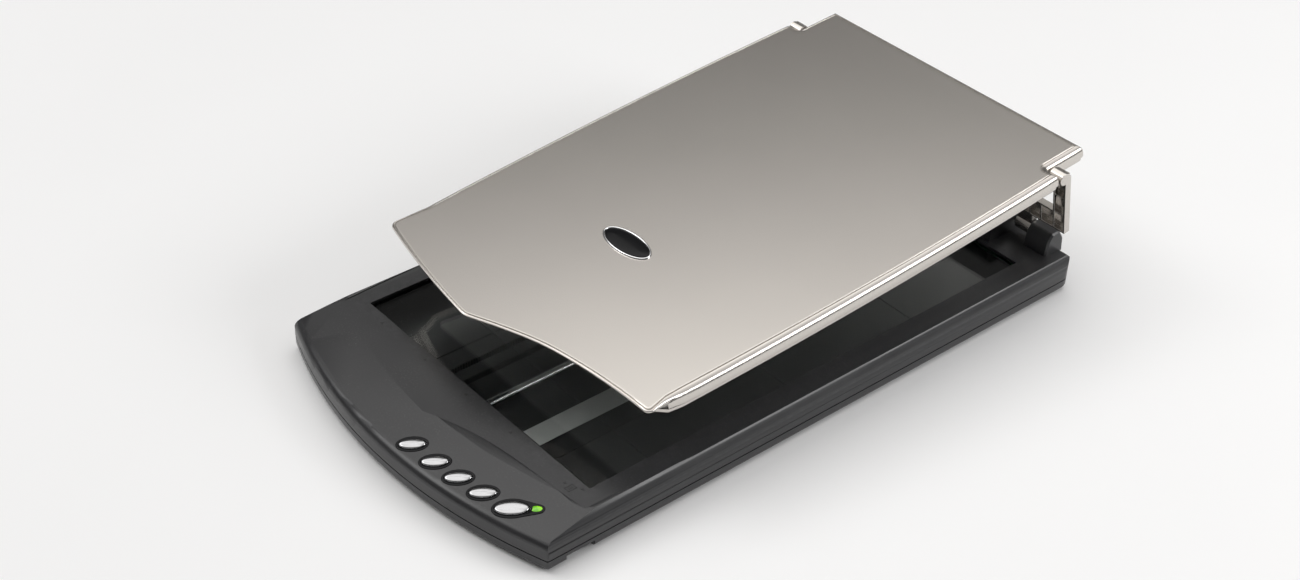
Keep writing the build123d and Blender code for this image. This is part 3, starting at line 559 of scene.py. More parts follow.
# %% Corner helper
def rounded_loop(runs, radii, corner_steps=5):
    """Joins runs end to end, and rounds the corner at the start of each run."""
    trims = []
    for i, run in enumerate(runs):
        before = runs[i - 1]
        a = (before[-1] - before[-2]).normalized()
        b = (run[1] - run[0]).normalized()
        turn = math.acos(max(-1.0, min(1.0, a.dot(b))))
        trims.append((radii[i] * math.tan(turn / 2), math.cos(turn / 2), turn))
    loop = []
    for i, run in enumerate(runs):
        start, stop = trims[i][0], trims[(i + 1) % len(runs)][0]
        lengths = [0.0]
        for p, q in zip(run, run[1:]):
            lengths.append(lengths[-1] + (q - p).length)
        total = lengths[-1]

        def along(s):
            s = min(max(s, 0.0), total)
            for k in range(1, len(run)):
                if s <= lengths[k] or k == len(run) - 1:
                    f = (s - lengths[k - 1]) / max(lengths[k] - lengths[k - 1], 1e-12)
                    return run[k - 1].lerp(run[k], f)

        first = along(start)
        previous = runs[i - 1]
        c, w = run[0], trims[i][1]
        last_before = c - (previous[-1] - previous[-2]).normalized() * start
        for k in range(corner_steps):
            u = k / corner_steps
            weight = (1 - u) ** 2 + 2 * u * (1 - u) * w + u * u
            loop.append(((1 - u) ** 2 * last_before + 2 * u * (1 - u) * w * c + u * u * first) / weight)
        count = len(run) - 1
        for k in range(count):
            loop.append(along(start + (total - start - stop) * k / count))
    return loop


print("corner helper ready")

# %% [markdown]
# ## The lid's plan
# Distances are taken from the shut lid's rear edge towards the front, in millimetres, so the lid can be read
# like a drawing. A corner that points inwards grows as the outline shrinks, and the others get tighter.

# %% The lid's outline at any inset
def lid_outline(d):
    """The shut lid's plan, moved inwards by d millimetres, counter-clockwise."""

    def at(x, s):
        return Vector((x * mm, lid_rear - s * mm))

    sh = 36.0 + d  # the shoulder where the narrow tongue begins
    right, left = at(120.5 - d, 371.5 - d), at(-120.5 + d, 379.0 - d)
    kink = at(-18.0, 397.0 - d)
    scoop = [kink, at(8, 387.0 - d), at(34, 379.0 - d), at(64, 374.2 - d), at(92, 372.0 - d), right]
    runs = [
        curve_through(scoop, 8),
        arc_through(right, at(126.3 - d, 190), at(125.5 - d, sh), 30),
        straight(at(125.5 - d, sh), at(115 - d, sh), 3),
        straight(at(115 - d, sh), at(115 - d, d), 6),
        straight(at(115 - d, d), at(-115 + d, d), 24),
        straight(at(-115 + d, d), at(-115 + d, sh), 6),
        straight(at(-115 + d, sh), at(-125.5 + d, sh), 3),
        arc_through(at(-125.5 + d, sh), at(-126.3 + d, 190), left, 30),
        arc_through(left, at(-70, 389.6 - d), kink, 20),
    ]
    corner_radii = [14.0, 4.0, 2.2, 0.8, 2.5, 2.5, 0.8, 2.2, 6.0]
    inward = {3, 6}
    radii = [(r + d if i in inward else max(r - d, 0.3)) * mm for i, r in enumerate(corner_radii)]
    return rounded_loop(runs, radii)


edge_loop = lid_outline(0)
print("lid outline:", len(edge_loop), "points,", round(max(p.x for p in edge_loop) * 2000, 1), "mm wide")

# %% [markdown]
# ## The lid cover
# The cover is a thin pressed shell: a flat top, a fine groove all round, then a rolled edge that catches the
# light as one bright line. A list of (inset, height) steps is that edge in section. Along the front the roll
# gives way to a thin lip with a shaded undercut, so a second list is blended in there. It is bridged shut and
# level, and one matrix lifts it onto the arms. A bevelled sheet could not change its section like that.

# %% Lid cover
blend_from, blend_over = 352.0, 18.0


def lid_piece(name, rings, slot, stands_for, under=None):
    """Bridges rings drawn shut, and lifts them onto the arms; under is the lowest face's own finish."""
    bm = bmesh.new()
    caps = stack_rings(bm, rings)
    if under:
        caps[0].material_index = 1
    bm.transform(raise_lid)
    return new_piece(name, bm, "lid", slot, stands_for, looks=[slot, under] if under else None)


def lid_rings(sides, front):
    """One section round the lid's sides and rear, blended into another along the front."""
    rings = []
    for (inset_a, z_a), (inset_b, z_b) in zip(sides, front):
        ring = []
        for a, b in zip(lid_outline(inset_a), lid_outline(inset_b)):
            share = smooth_step(((lid_rear - a.y) / mm - blend_from) / blend_over)
            z = z_a + (z_b - z_a) * share
            ring.append(Vector((a.x + (b.x - a.x) * share, a.y + (b.y - a.y) * share, z * mm)))
        rings.append(ring)
    return rings


top = lid_top / mm
cover_edge = [
    (2.4, 29.9), (0.6, 29.9), (0.2, 30.1), (0.02, 30.6), (0.0, 31.3), (0.06, 32.3), (0.24, 33.4), (0.55, 34.5),
    (1.0, 35.5), (1.6, 36.35), (2.35, 37.05), (3.2, 37.5), (4.0, 37.75), (4.45, 37.78), (4.6, 37.6),
    (4.68, 37.1), (5.05, 37.1), (5.12, 37.8), (5.3, 37.97), (5.7, top), (6.2, top),
]
lip_edge = [
    (9.6, 29.9), (9.0, 29.9), (8.6, 30.1), (7.8, 31.0), (6.6, 32.2), (5.2, 33.3), (3.8, 34.2), (2.4, 34.9),
    (1.2, 35.4), (0.35, 35.8), (0.0, 36.3), (0.0, 36.9), (0.25, 37.4), (0.8, 37.62), (1.1, 37.5),
    (1.2, 37.3), (1.45, 37.3), (1.55, 37.75), (1.75, 37.95), (2.2, top), (2.7, top),
]
cover = lid_piece("lid_cover", lid_rings(cover_edge, lip_edge), "silver_plastic", "lid_shell")
print("lid cover:", len(cover.data.polygons), "faces; box", [round(v, 4) for v in cover.dimensions])

# %% [markdown]
# ## The lid's tray, foam and mat
# Under the cover sits a shallow tray with a silver rim and a dark underside. A white mat on a thin foam pad
# hangs from it, and presses the page flat. The foam is soft, so its edges are rounded and bow out a little.

# %% Tray, foam and mat
def pad_outline(half_x, y0, y1, corner):
    """A rounded rectangle in plan, as a function of inset."""
    def loop(inset):
        x, a, b = half_x - inset * mm, y0 + inset * mm, y1 - inset * mm
        corners = [Vector((-x, a)), Vector((x, a)), Vector((x, b)), Vector((-x, b))]
        runs = [straight(corners[i], corners[(i + 1) % 4], 12) for i in range(4)]
        return rounded_loop(runs, [max(corner - inset * mm, 0.4 * mm)] * 4)
    return loop


def level_rings(outline, profile, x=0.0, y=0.0):
    """Rings of (inset, height) steps on an outline moved to a place."""
    return [[Vector((p.x + x, p.y + y, z * mm)) for p in outline(d)] for d, z in profile]


tray_edge = [(5.2, 26.3), (2.6, 26.3), (1.75, 26.42), (1.35, 26.8), (1.2, 27.4), (1.2, 29.2), (1.35, 29.6),
             (1.9, 29.88), (3.2, 29.9)]
front_setback = 8.0
tray_front = [(d + front_setback, z) for d, z in tray_edge]
rings = lid_rings(tray_edge, tray_front)
tray = lid_piece("lid_tray_rim", rings, "silver_plastic", "lid_tray", "black_plastic")
glass_low, glass_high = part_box("platen_glass")
overlap = 3.5 * mm
window_front, window_rear = glass_low.y + overlap, glass_high.y - overlap
mat_loop = pad_outline(108.0 * mm, window_front + 2 * mm, window_rear - 2 * mm, 3 * mm)
foam_edge = [(0.9, 24.3), (0.35, 24.45), (0.05, 24.9), (0.0, 25.3), (0.05, 25.7), (0.35, 26.15), (0.9, 26.3)]
foam = lid_piece("lid_foam_pad", level_rings(mat_loop, foam_edge), "grey_foam", "lid_foam")
mat_edge = [(0.15, 23.8), (0.0, 23.86), (0.0, 24.24), (0.1, 24.3)]
mat = lid_piece("lid_white_mat", level_rings(mat_loop, mat_edge), "white_mat", "lid_mat")
print("tray, foam and mat:", [len(o.data.polygons) for o in (tray, foam, mat)])

# %% [markdown]
# ## The oval badge
# A small domed plate sits in a bright ring near the lid's front. It stays plain. Both are stacks of ellipses;
# the ring's section is a half round, and the plate rises a little towards its middle.

# %% Badge and ring
def ellipse(a, b, z, count=72):
    """One ring of an ellipse, in millimetres."""
    return [Vector((a * math.cos(t) * mm, b * math.sin(t) * mm, z * mm)) for t in circle(count)]


def ellipse_stack(bm, steps, a, b, count=72):
    """Rings of (inset, height) on an ellipse."""
    return stack_rings(bm, [ellipse(a - d, b - d, z, count) for d, z in steps])


badge_low, badge_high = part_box("lid_badge_rim")
badge_x = (badge_low.x + badge_high.x) / 2
badge_half = ((badge_high.x - badge_low.x) / 2) / mm
badge_wide = 9.5
badge_s = 283.0
rim_width = 1.62
badge_place = raise_lid @ Matrix.Translation(Vector((badge_x, lid_rear - badge_s * mm, lid_top)))
rim_steps = [(0.0, 0.0), (0.05, 0.45), (0.25, 0.8), (0.6, 1.0), (1.0, 0.98), (1.3, 0.8), (1.5, 0.5),
             (1.55, 0.0)]
bm = bmesh.new()
rings = [ellipse(badge_half - d, badge_wide - d, z) for d, z in rim_steps]
stack_rings(bm, rings + [rings[0]], False)
bmesh.ops.remove_doubles(bm, verts=bm.verts, dist=1e-6)
bm.transform(badge_place)
new_piece("badge_ring", bm, "lid", "bright_chrome", "lid_badge_rim")
bm = bmesh.new()
dome = [(0.0, 0.0), (0.0, 0.35), (0.4, 0.45), (1.5, 0.56), (3.0, 0.66), (4.8, 0.74), (6.6, 0.79), (7.4, 0.8)]
ellipse_stack(bm, dome, badge_half - rim_width, badge_wide - rim_width)
bm.transform(badge_place)
new_piece("badge_plate", bm, "lid", "gloss_black", "lid_badge", 50)
print("badge:", round(badge_half * 2, 1), "mm long")

# %% [markdown]
# ## The two housings
# The base is two mouldings that meet at a shadow groove: a shallow tray below, and above it the deck with its
# rounded shoulders, the sloping control panel, the rear ridge and the hinge knuckles. Their shapes come from
# the frame, so we copy them and only soften the edges that a mould would never leave sharp.

# %% Housings
housings = [softened(name, "base", 0.25, sharp=28) for name in ("upper_housing", "lower_housing")]
print("housings:", [len(o.data.polygons) for o in housings], "faces before softening")

# %% [markdown]
# ## Swing arms, pins and shafts
# Each arm is one moulding with ribbed pockets on its inner side. It is painted like the lid, so its softened
# edges pick up the same bright line.

# %% Arms and their pins
for name in ("hinge_arm_left", "hinge_arm_right"):
    softened(name, "arms", 0.3)
softened("lid_pins", "arms", 0.2)
softened("hinge_shafts", "hinge", 0.2)

# %% [markdown]
# ## Where the buttons stand
# Five buttons stand on an arc inside the panel's front edge, all at the same slant. A button's joint axis is
# the panel's normal there, so its direction round the arc and the panel's slope can both be read from it.

# %% Button frames
keys = ["copy", "text", "mail", "custom", "pdf"]
from_edge = 12.4 * mm
slant = math.radians(48.0)
panel_top, panel_start, panel_drop, panel_run = 26.1, 36.0, 4.3, 31.0


def panel_frame(name):
    """Where a button stands: Z along the panel's normal, X along the oval's long axis."""
    normal = -Vector(joints[name + "_press"]["axis"]).normalized()
    turn = math.atan2(normal.x, -normal.y)
    slope = math.acos(normal.z)
    r = nose_r - from_edge
    z = (panel_top - (r / mm - nose_r / mm + panel_start) * panel_drop / panel_run) * mm
    at = Vector((r * math.sin(turn), nose_c - r * math.cos(turn), z))
    tilt = Matrix.Rotation(turn, 4, "Z") @ Matrix.Rotation(slope, 4, "X")
    return Matrix.Translation(at) @ tilt @ Matrix.Rotation(slant - turn, 4, "Z")


def oval(name, more=0.0):
    """A button's half axes in millimetres; the large one is scaled up."""
    grow = 1.22 if name == "pdf" else 1.0
    return 8.5 * grow + more, 4.9 * grow + more


print("button heights:", [round(panel_frame(key).translation.z, 4) for key in keys])

# %% [markdown]
# ## Push buttons
# A domed silver cap is a stack of ellipses with a stem below. Its top is cut by a shallow valley along the
# long axis, which splits the reflection into a bright half and a dark half. The valley fades out at the rim.

# %% Button caps
cap_steps = [(-0.9, -2.9), (-0.9, -1.7), (0.0, -1.7), (0.0, 0.1), (0.06, 0.4), (0.22, 0.72), (0.5, 1.0),
             (0.9, 1.22), (1.4, 1.38), (2.1, 1.5), (3.0, 1.57), (4.2, 1.6)]
for key in keys:
    a, b = oval(key)
    a, b = a - 0.5, b - 1.0
    bm = bmesh.new()
    caps = ellipse_stack(bm, cap_steps, a, b)
    bmesh.ops.poke(bm, faces=[caps[-1]])
    for v in bm.verts:
        x, y = v.co.x / mm, v.co.y / mm
        if v.co.z > 0.9 * mm:
            valley = math.exp(-((y + 0.12 * x + 0.38 * b) / (0.24 * b)) ** 2)
            v.co.z -= 0.36 * mm * valley * smooth_step(1.8 * (1 - (x / a) ** 2 - (y / b) ** 2))
    stack_rings(bm, [ellipse(1.4, 1.4, z, 24) for z in (-9.4, -2.8)])
    bm.transform(panel_frame(key))
    new_piece(key + "_cap", bm, key + "_key", "silver_button", key + "_button", 40)
print("caps:", keys)

# %% [markdown]
# ## Dark rings and the light window
# A gloss black ring frames every button. The large one runs on as a teardrop round a green lens, which glows.
# The teardrop is the hull of two ellipses, found by taking, in each direction, whichever reaches further.

# %% Button rings
lens_shift, lens_drop = 13.8, -0.6


def teardrop(a, b, a2, b2, inset, z):
    """A ring round two ellipses, the second at the lens."""
    points = []
    for t in circle(96):
        n = Vector((math.cos(t), math.sin(t)))
        reached = []
        for ra, rb, cx, cy in ((a - inset, b - inset, 0, 0), (a2 - inset, b2 - inset, lens_shift, lens_drop)):
            reach = math.hypot(ra * n.x, rb * n.y)
            reached.append(Vector((cx + ra * ra * n.x / reach, cy + rb * rb * n.y / reach)))
        best = max(reached, key=n.dot)
        points.append(Vector((best.x * mm, best.y * mm, z * mm)))
    return points


bm = bmesh.new()
for key in keys:
    a, b = oval(key, 1.25)
    start = len(bm.verts)
    if key == "pdf":
        outer_steps, crest = [(0, -1.6), (0, 0.1), (0.15, 0.28), (0.4, 0.35)], 0.32
        outside = [teardrop(a, b, 4.9, 3.7, d, z) for d, z in outer_steps]
    else:
        outer_steps, crest = [(0, -1.6), (0, 0.1), (0.12, 0.28), (0.35, 0.35)], 0.34
        outside = [ellipse(a - d, b - d, z, 96) for d, z in outer_steps]
    inner_steps = [(1.1, crest), (1.35, 0.2), (1.45, -0.1), (1.45, -1.6)]
    inside = [ellipse(a - d, b - d - 0.5, z, 96) for d, z in inner_steps]
    stack_rings(bm, outside + inside + [outside[0]], False)
    frame_here = panel_frame(key)
    for v in list(bm.verts)[start:]:
        v.co = frame_here @ v.co
bmesh.ops.remove_doubles(bm, verts=bm.verts, dist=1e-6)
rings = new_piece("button_rings", bm, "base", "gloss_black", "button_surrounds", 40)
print("rings:", len(rings.data.polygons), "faces")

# %% [markdown]
# ## The light window
# The lens is a small dome of ellipses inside the teardrop. Its near side is pushed back to the button's oval,
# so that it fits against it.

# %% Light window
bm = bmesh.new()
lens_steps = [(0.0, -2.2), (0.0, 0.1), (0.2, 0.35), (0.6, 0.5), (1.2, 0.6), (1.8, 0.64)]
ellipse_stack(bm, lens_steps, 3.5, 2.3, 48)
a, b = oval("pdf", 1.3)
for v in bm.verts:
    v.co.x += lens_shift * mm
    v.co.y += lens_drop * mm
    x, y = v.co.x / mm / a, v.co.y / mm / b
    if x ** 2 + y ** 2 < 1.0:
        v.co.x = a * mm * math.sqrt(max(0.0, 1 - y ** 2))
bm.transform(panel_frame("pdf"))
window = new_piece("light_window", bm, "base", "green_lens", "led_lens", 40)
print("window:", len(window.data.polygons), "faces")

# %% [markdown]
# ## Platen glass
# A sheet of float glass lies under the deck's window. Only its ground edges are softened.

# %% Glass and strip
softened("platen_glass", "base", 0.3)
softened("calibration_strip", "base", 0.1)
print("glass:", [round(v, 4) for v in glass_high - glass_low])

# %% [markdown]
# ## Marks on the deck
# Thin raised arrows on the deck show where standard papers end, and a small page outline marks the corner
# where a sheet is laid. They are moulded marks, an eighth of a millimetre high, so they catch a little light.

# %% Deck marks
def mark(bm, outline):
    """A flat shape that stands a little above the deck."""
    stack_rings(bm, [[Vector((x, y, deck_z + z * mm)) for x, y in outline] for z in (-0.1, 0.12)])


bm = bmesh.new()
mark_y = window_front - 4.2 * mm
wide, tall = 1.5 * mm, 2.4 * mm
for x in (-88.0 * mm, -41.6 * mm, 0.6 * mm, 44.4 * mm):
    mark(bm, [(x - wide, mark_y - tall), (x + wide, mark_y - tall), (x, mark_y)])
corner_x, corner_y = 101.0 * mm, window_front - 11.0 * mm
page = [(0, 0, 4.2, 0.5), (0, 5.3, 4.2, 0.5), (0, 0, 0.5, 5.8), (3.7, 0, 0.5, 5.8), (1.2, 1.6, 1.8, 0.4),
        (1.2, 2.7, 1.8, 0.4), (1.2, 3.8, 1.8, 0.4)]
for x, y, w, h in page:
    x0, y0 = corner_x + x * mm, corner_y + y * mm
    x1, y1 = x0 + w * mm, y0 + h * mm
    mark(bm, [(x0, y0), (x1, y0), (x1, y1), (x0, y1)])
for dx, dy in ((-4.0, 2.0), (6.5, 6.5)):
    x0, y0 = corner_x + dx * mm, corner_y + dy * mm
    mark(bm, [(x0, y0), (x0 + 2.2 * mm, y0 + 1.1 * mm), (x0, y0 + 2.2 * mm)])
marks = new_piece("deck_marks", bm, "base", "black_plastic", smooth=30)
print("deck marks:", len(marks.data.polygons), "faces")

# %% [markdown]
# ## The scanning carriage and its rail
# Through the glass shows the carriage: a black cradle with the sensor bar on springs, riding on a steel rod
# and pulled by a belt. Their frame shapes are right, so they are copied and softened.

# %% Carriage and drive parts
soft_parts = [
    ("carriage", {"scan_carriage": 0.3, "sensor_bar": 0.25, "lens_array": 0.1, "light_guide": 0.2,
                  "rail_bushes": 0.1, "glide_pads": 0.2, "belt_clip": 0.2}),
    ("base", {"guide_rod": 0.3, "rod_holders": 0.3, "drive_motor": 0.5, "motor_bracket": 0.15,
              "pulley_axles": 0.15, "idler_bracket": 0.2}),
    ("drive_wheel", {"drive_pulley": 0.15, "reduction_gear": 0.08}),
    ("motor_rotor", {"motor_pinion": 0.05}),
    ("idler_wheel", {"idler_pulley": 0.15}),
    ("base", {"main_board": 0.1, "board_posts": 0.2, "usb_socket": 0.2, "power_socket": 0.2,
              "button_board": 0.1, "button_board_posts": 0.2, "tact_switches": 0.15, "home_sensor": 0.2}),
    ("lock", {"lock_slider": 0.25}),
]
for body, widths in soft_parts:
    for name, width in widths.items():
        softened(name, body, width)
print("softened:", sum(len(widths) for body, widths in soft_parts), "parts")

# %% [markdown]
# ## Coil springs
# A spring is a round wire on a helix, closed up at both ends. The wire is swept along points on the helix,
# and each ring of the wire is turned to face along the path. A curve with a bevel would do as well, but it
# would have to be converted to a mesh later.

# %% Springs
def tube_along(bm, points, radius, sides=8):
    """A round tube through points, with flat ends."""
    rings = []
    for i, p in enumerate(points):
        ahead = (points[min(i + 1, len(points) - 1)] - points[max(i - 1, 0)]).normalized()
        a = ahead.cross(Vector((0.31, 0.22, 0.93))).normalized()
        b = ahead.cross(a)
        rings.append([p + (a * math.cos(t) + b * math.sin(t)) * radius for t in circle(sides)])
    stack_rings(bm, rings)


def helix(start, along, length, radius, turns, per_turn=20):
    """Points of a coil whose end turns lie close together."""
    a = along.orthogonal().normalized()
    b = along.cross(a)
    out = []
    for i in range(int(turns * per_turn) + 1):
        f = i / (turns * per_turn)
        rise = 0.5 - 0.5 * math.cos(math.pi * min(max((f - 0.12) / 0.76, 0.0), 1.0)) if 0 < f < 1 else f
        rise = 0.85 * (0.65 * f + 0.35 * rise) + 0.15 * f
        t = 2 * math.pi * turns * f
        out.append(start + along * length * rise + (a * math.cos(t) + b * math.sin(t)) * radius)
    return out


def spring_for(node, body, axis, wire, turns, count=1):
    """Coils in the room of a plain sleeve node; two sleeves stand at the ends of a row along X."""
    low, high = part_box(node)
    others = [k for k in range(3) if k != axis]
    across = high[others[1]] - low[others[1]]
    direction = Vector([1.0 if j == axis else 0.0 for j in range(3)])
    length = high[axis] - low[axis] - 2 * wire
    bm = bmesh.new()
    for k in range(count):
        start = (low + high) / 2
        if count > 1:
            start.x = low.x + across / 2 if k == 0 else high.x - across / 2
        start[axis] = low[axis] + wire
        tube_along(bm, helix(start, direction, length, across / 2 - wire, turns), wire)
    new_piece(node + "_coil", bm, body, "zinc_steel", node, 60)


spring_for("bar_springs", "carriage", 2, 0.28 * mm, 5.5, 2)
spring_for("tension_spring", "base", 1, 0.3 * mm, 12)
print("springs coiled")

# %% [markdown]
# ## The toothed belt
# The belt is a closed band round two pulleys, with a tooth every two millimetres on its inside. Its section
# is pushed round the loop, and the inner face steps in and out for the teeth.

# %% Belt
pulley = Vector(joints["drive_wheel_spin"]["pos_m"])
idler = Vector(joints["idler_spin"]["pos_m"])
belt_r, belt_half = 7.2 * mm, 2.0 * mm
tooth_pitch = 1.0 * mm
stations = int((idler.y - pulley.y) / tooth_pitch)
bend_stations = 24


def belt_run(side, y0, y1):
    """Places and outward directions along one straight side of the belt."""
    return [(Vector((pulley.x + side * belt_r, y0 + (y1 - y0) * i / stations)), Vector((side, 0)))
            for i in range(stations)]


def belt_bend(centre, start):
    """The same round one pulley, from an angle."""
    out = []
    for i in range(bend_stations):
        t = start + math.pi * i / bend_stations
        out.append((Vector((centre.x + belt_r * math.cos(t), centre.y + belt_r * math.sin(t))),
                    Vector((math.cos(t), math.sin(t)))))
    return out


loop_points = belt_run(1, pulley.y, idler.y) + belt_bend(idler, 0.0)
loop_points += belt_run(-1, idler.y, pulley.y) + belt_bend(pulley, math.pi)
rings = []
z0, z1 = pulley.z - belt_half, pulley.z + belt_half
for i, (p, n) in enumerate(loop_points):
    q = p - n * ((1.1 if i % 2 else 0.6) * mm)
    rings.append([Vector((e.x, e.y, z)) for e, z in ((p, z0), (p, z1), (q, z1), (q, z0))])
bm = bmesh.new()
stack_rings(bm, rings + [rings[0]], False)
bmesh.ops.remove_doubles(bm, verts=bm.verts, dist=1e-6)
new_piece("toothed_belt", bm, "base", "black_rubber", "drive_belt", 30)
print("belt:", len(loop_points), "stations")

# %% [markdown]
# ## Screws
# Pan-head screws hold the housings, the board and the motor. Each is a stack of rings about its axis. A plus
# sign can be drawn as one radius for each direction, so the last rings take that outline and step down into
# the head as a cross recess. A boolean could cut it instead, but would leave untidy faces round the cut.

# %% Screw helpers
def cross_radius(angle, reach, width):
    """How far a plus sign reaches in one direction."""
    c, s = abs(math.cos(angle)) + 1e-9, abs(math.sin(angle)) + 1e-9
    return max(min(reach / c, width / s), min(reach / s, width / c))


def cross_screws(name, node, body, spots, head_r, head_h, shank_r, length, down=False, move=None):
    """Pan heads with a cross recess; down turns the head to face the floor."""
    bm = bmesh.new()
    sign = -1 if down else 1
    angles = circle(48)
    plain = [(shank_r, -length), (shank_r, 0.0), (head_r, 0.0), (head_r, head_h * 0.45),
             (head_r * 0.9, head_h * 0.75), (head_r * 0.7, head_h * 0.92)]
    for n, spot in enumerate(spots):
        turn = 0.35 + n * 1.1
        outlines = [([r] * len(angles), z) for r, z in plain]
        for share, rise in ((1.0, 1.0), (0.92, 0.6), (0.6, 0.35)):
            reach, width = head_r * 0.55 * share, head_r * 0.13 * share
            outlines.append(([cross_radius(t - turn, reach, width) for t in angles], head_h * rise))
        stack_rings(bm, [[spot + Vector((r * math.cos(t), r * math.sin(t), z * sign)) * mm
                          for r, t in zip(radii, angles)] for radii, z in outlines])
    if move is not None:
        bm.transform(move)
    new_piece(name, bm, body, "zinc_steel", node, 40)


print("screw helpers ready")

# %% [markdown]
# ## Where the screws sit
# Their places are measured from the frame's edges and joints. The housings' and the lid's screws face the
# floor, and the lid's ride up with it.

# %% Screws
home_y = window_front - 5.0 * mm
base_spots = [Vector((sx * 118.0 * mm, y, 2.8 * mm)) for sx in (1, -1)
              for y in (home_y + 12 * mm, -8.0 * mm, rear_y - 62 * mm)]
cross_screws("base_screws", "housing_screws", "base", base_spots, 3.0, 1.95, 1.25, 16.0, down=True)
board_y = window_rear + 19.6 * mm
board_spots = [Vector((x * mm, board_y, 7.0 * mm)) for x in (16.0, 54.0)]
cross_screws("board_fixings", "board_screws", "base", board_spots, 2.4, 1.2, 1.2, 2.6)
motor_at = Vector(joints["motor_spin"]["pos_m"])
motor_spots = [Vector((motor_at.x - 15 * mm, motor_at.y + dy * mm, 15.2 * mm)) for dy in (-6, 6)]
cross_screws("motor_fixings", "motor_screws", "base", motor_spots, 2.2, 1.0, 1.15, 6.0)
lid_spots = [Vector((sx * 108.0 * mm, lid_rear - s * mm, 27.9 * mm)) for sx in (1, -1)
             for s in (52.0, 200.0, 356.0)]
cross_screws("lid_fixings", "lid_screws", "lid", lid_spots, 2.1, 1.4, 1.05, 5.8, down=True, move=raise_lid)
print("screws:", len(base_spots) + len(board_spots) + len(motor_spots) + len(lid_spots))

# %% [markdown]
# ## Rubber feet
# Four oblong pads with rounded corners stand under the base. Their lower rims are turned in, so that they do
# not look cut from a sheet.

# %% Feet
foot_low, foot_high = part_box("rubber_feet")
foot_half = 5.8 * mm
pad = pad_outline(10.8 * mm, -foot_half, foot_half, 3.0 * mm)
pad_steps = [(1.0, 0.0), (0.35, 0.12), (0.08, 0.45), (0.0, 0.9), (0.0, 2.7)]
bm = bmesh.new()
for sx in (1, -1):
    for y in (foot_low.y + foot_half, foot_high.y - foot_half):
        stack_rings(bm, level_rings(pad, pad_steps, sx * 106.0 * mm, y))
feet = new_piece("foot_pads", bm, "base", "black_rubber", "rubber_feet", 50)
print("feet:", len(feet.data.polygons), "faces")

# %% [markdown]
# ## Chips and capacitor
# The main board carries two square chips with rows of bent legs, and a can capacitor. A leg is a thin tube
# through four points, turned to each side of its chip. The can is a lathe shape with a rolled groove.

# %% Chips and capacitor
def turned(bm, centre, profile, sides=28):
    """A lathe shape about Z from (radius, height) steps in millimetres."""
    stack_rings(bm, [[centre + Vector((r * math.cos(t), r * math.sin(t), z)) * mm for t in circle(sides)]
                     for r, z in profile])


board_low, board_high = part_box("main_board")
board_mid = (board_low.y + board_high.y) / 2
chip_at = (26.0 * mm, 42.0 * mm)
chip_half = 5.2 * mm
chip_outline = pad_outline(chip_half, -chip_half, chip_half, 0.5 * mm)
bm = bmesh.new()
chip_steps = [(0.35, 7.1), (0.0, 7.7), (0.25, 8.45), (0.45, 8.55)]
for x in chip_at:
    stack_rings(bm, level_rings(chip_outline, chip_steps, x, board_mid))
body_faces = len(bm.faces)
leg_steps = [(5.1, 7.7), (5.5, 7.65), (5.65, 7.12), (6.0, 7.08)]
for x in chip_at:
    for quarter in range(4):
        turn = Matrix.Rotation(math.pi / 2 * quarter, 4, "Z")
        for k in range(11):
            off = (-4.0 + 0.8 * k) * mm
            leg = [Vector((r * mm, off, z * mm)) for r, z in leg_steps]
            tube_along(bm, [turn @ p + Vector((x, board_mid, 0)) for p in leg], 0.14 * mm, 4)
leg_faces = len(bm.faces)
can_steps = [(3.7, 0.0), (4.0, 0.3), (4.0, 1.0), (3.75, 1.25), (4.0, 1.5), (4.0, 7.6), (3.7, 7.95),
             (3.2, 7.9), (1.0, 7.9)]
turned(bm, Vector((105.0 * mm, board_mid, 7.0 * mm)), can_steps)
for n, face in enumerate(bm.faces):
    bare_lid = n >= leg_faces and face.calc_center_median().z > 14.7 * mm
    face.material_index = 1 if body_faces <= n < leg_faces or bare_lid else 0
new_piece("chips_and_can", bm, "base", "black_plastic", "board_chips", looks=["black_plastic", "zinc_steel"])
print("board dressed")

# %% [markdown]
# ## The ribbon
# A pale ribbon cable runs from the board along the floor of the base. Its wires show as fine stripes, which a
# wave texture gives in both colour and height, so no wire has to be drawn.

# %% Ribbon
tree, shader = start_finish("ribbon_wires")
stripes = tree.nodes.new("ShaderNodeTexWave")
stripes.inputs["Scale"].default_value = 314.0
stripes.inputs["Distortion"].default_value = 0.0
tree.links.new(object_place(tree), stripes.inputs["Vector"])
wires = stripes.outputs["Fac"]
dress(tree, shader, mix_colour(tree, wires, (0.62, 0.62, 0.60), (0.36, 0.37, 0.38)),
      remap(tree, wires, 0.0, 1.0, 0.3, 0.45), wires, 0.3, 0.0001)
softened("flat_cable", "base", 0.05, look="ribbon_wires")
print("ribbon laid")

# %% [markdown]
# ## Camera
# The camera stands to the right of the front, above the deck, and looks down at the lid. Its frame is built
# from azimuth, elevation and a small roll, so each number can be read as a direction.

# %% Camera
azimuth, elevation, roll = (math.radians(v) for v in (48.851, 36.092, 1.984))
back = Vector((math.sin(azimuth) * math.cos(elevation), -math.cos(azimuth) * math.cos(elevation),
               math.sin(elevation)))
side = Vector((0, 0, 1)).cross(back).normalized()
up = back.cross(side)
side, up = side * math.cos(roll) + up * math.sin(roll), up * math.cos(roll) - side * math.sin(roll)
lens = bpy.data.cameras.new("camera")
lens.lens = 55.0
lens.sensor_width = 36.0
camera = bpy.data.objects.new("camera", lens)
bpy.context.scene.collection.objects.link(camera)
facing = Matrix((side, up, back)).transposed().to_4x4()
camera.matrix_world = Matrix.Translation((0.75394, -0.69124, 0.76834)) @ facing
bpy.context.scene.camera = camera
print("camera at", [round(v, 3) for v in camera.location], "lens", lens.lens)
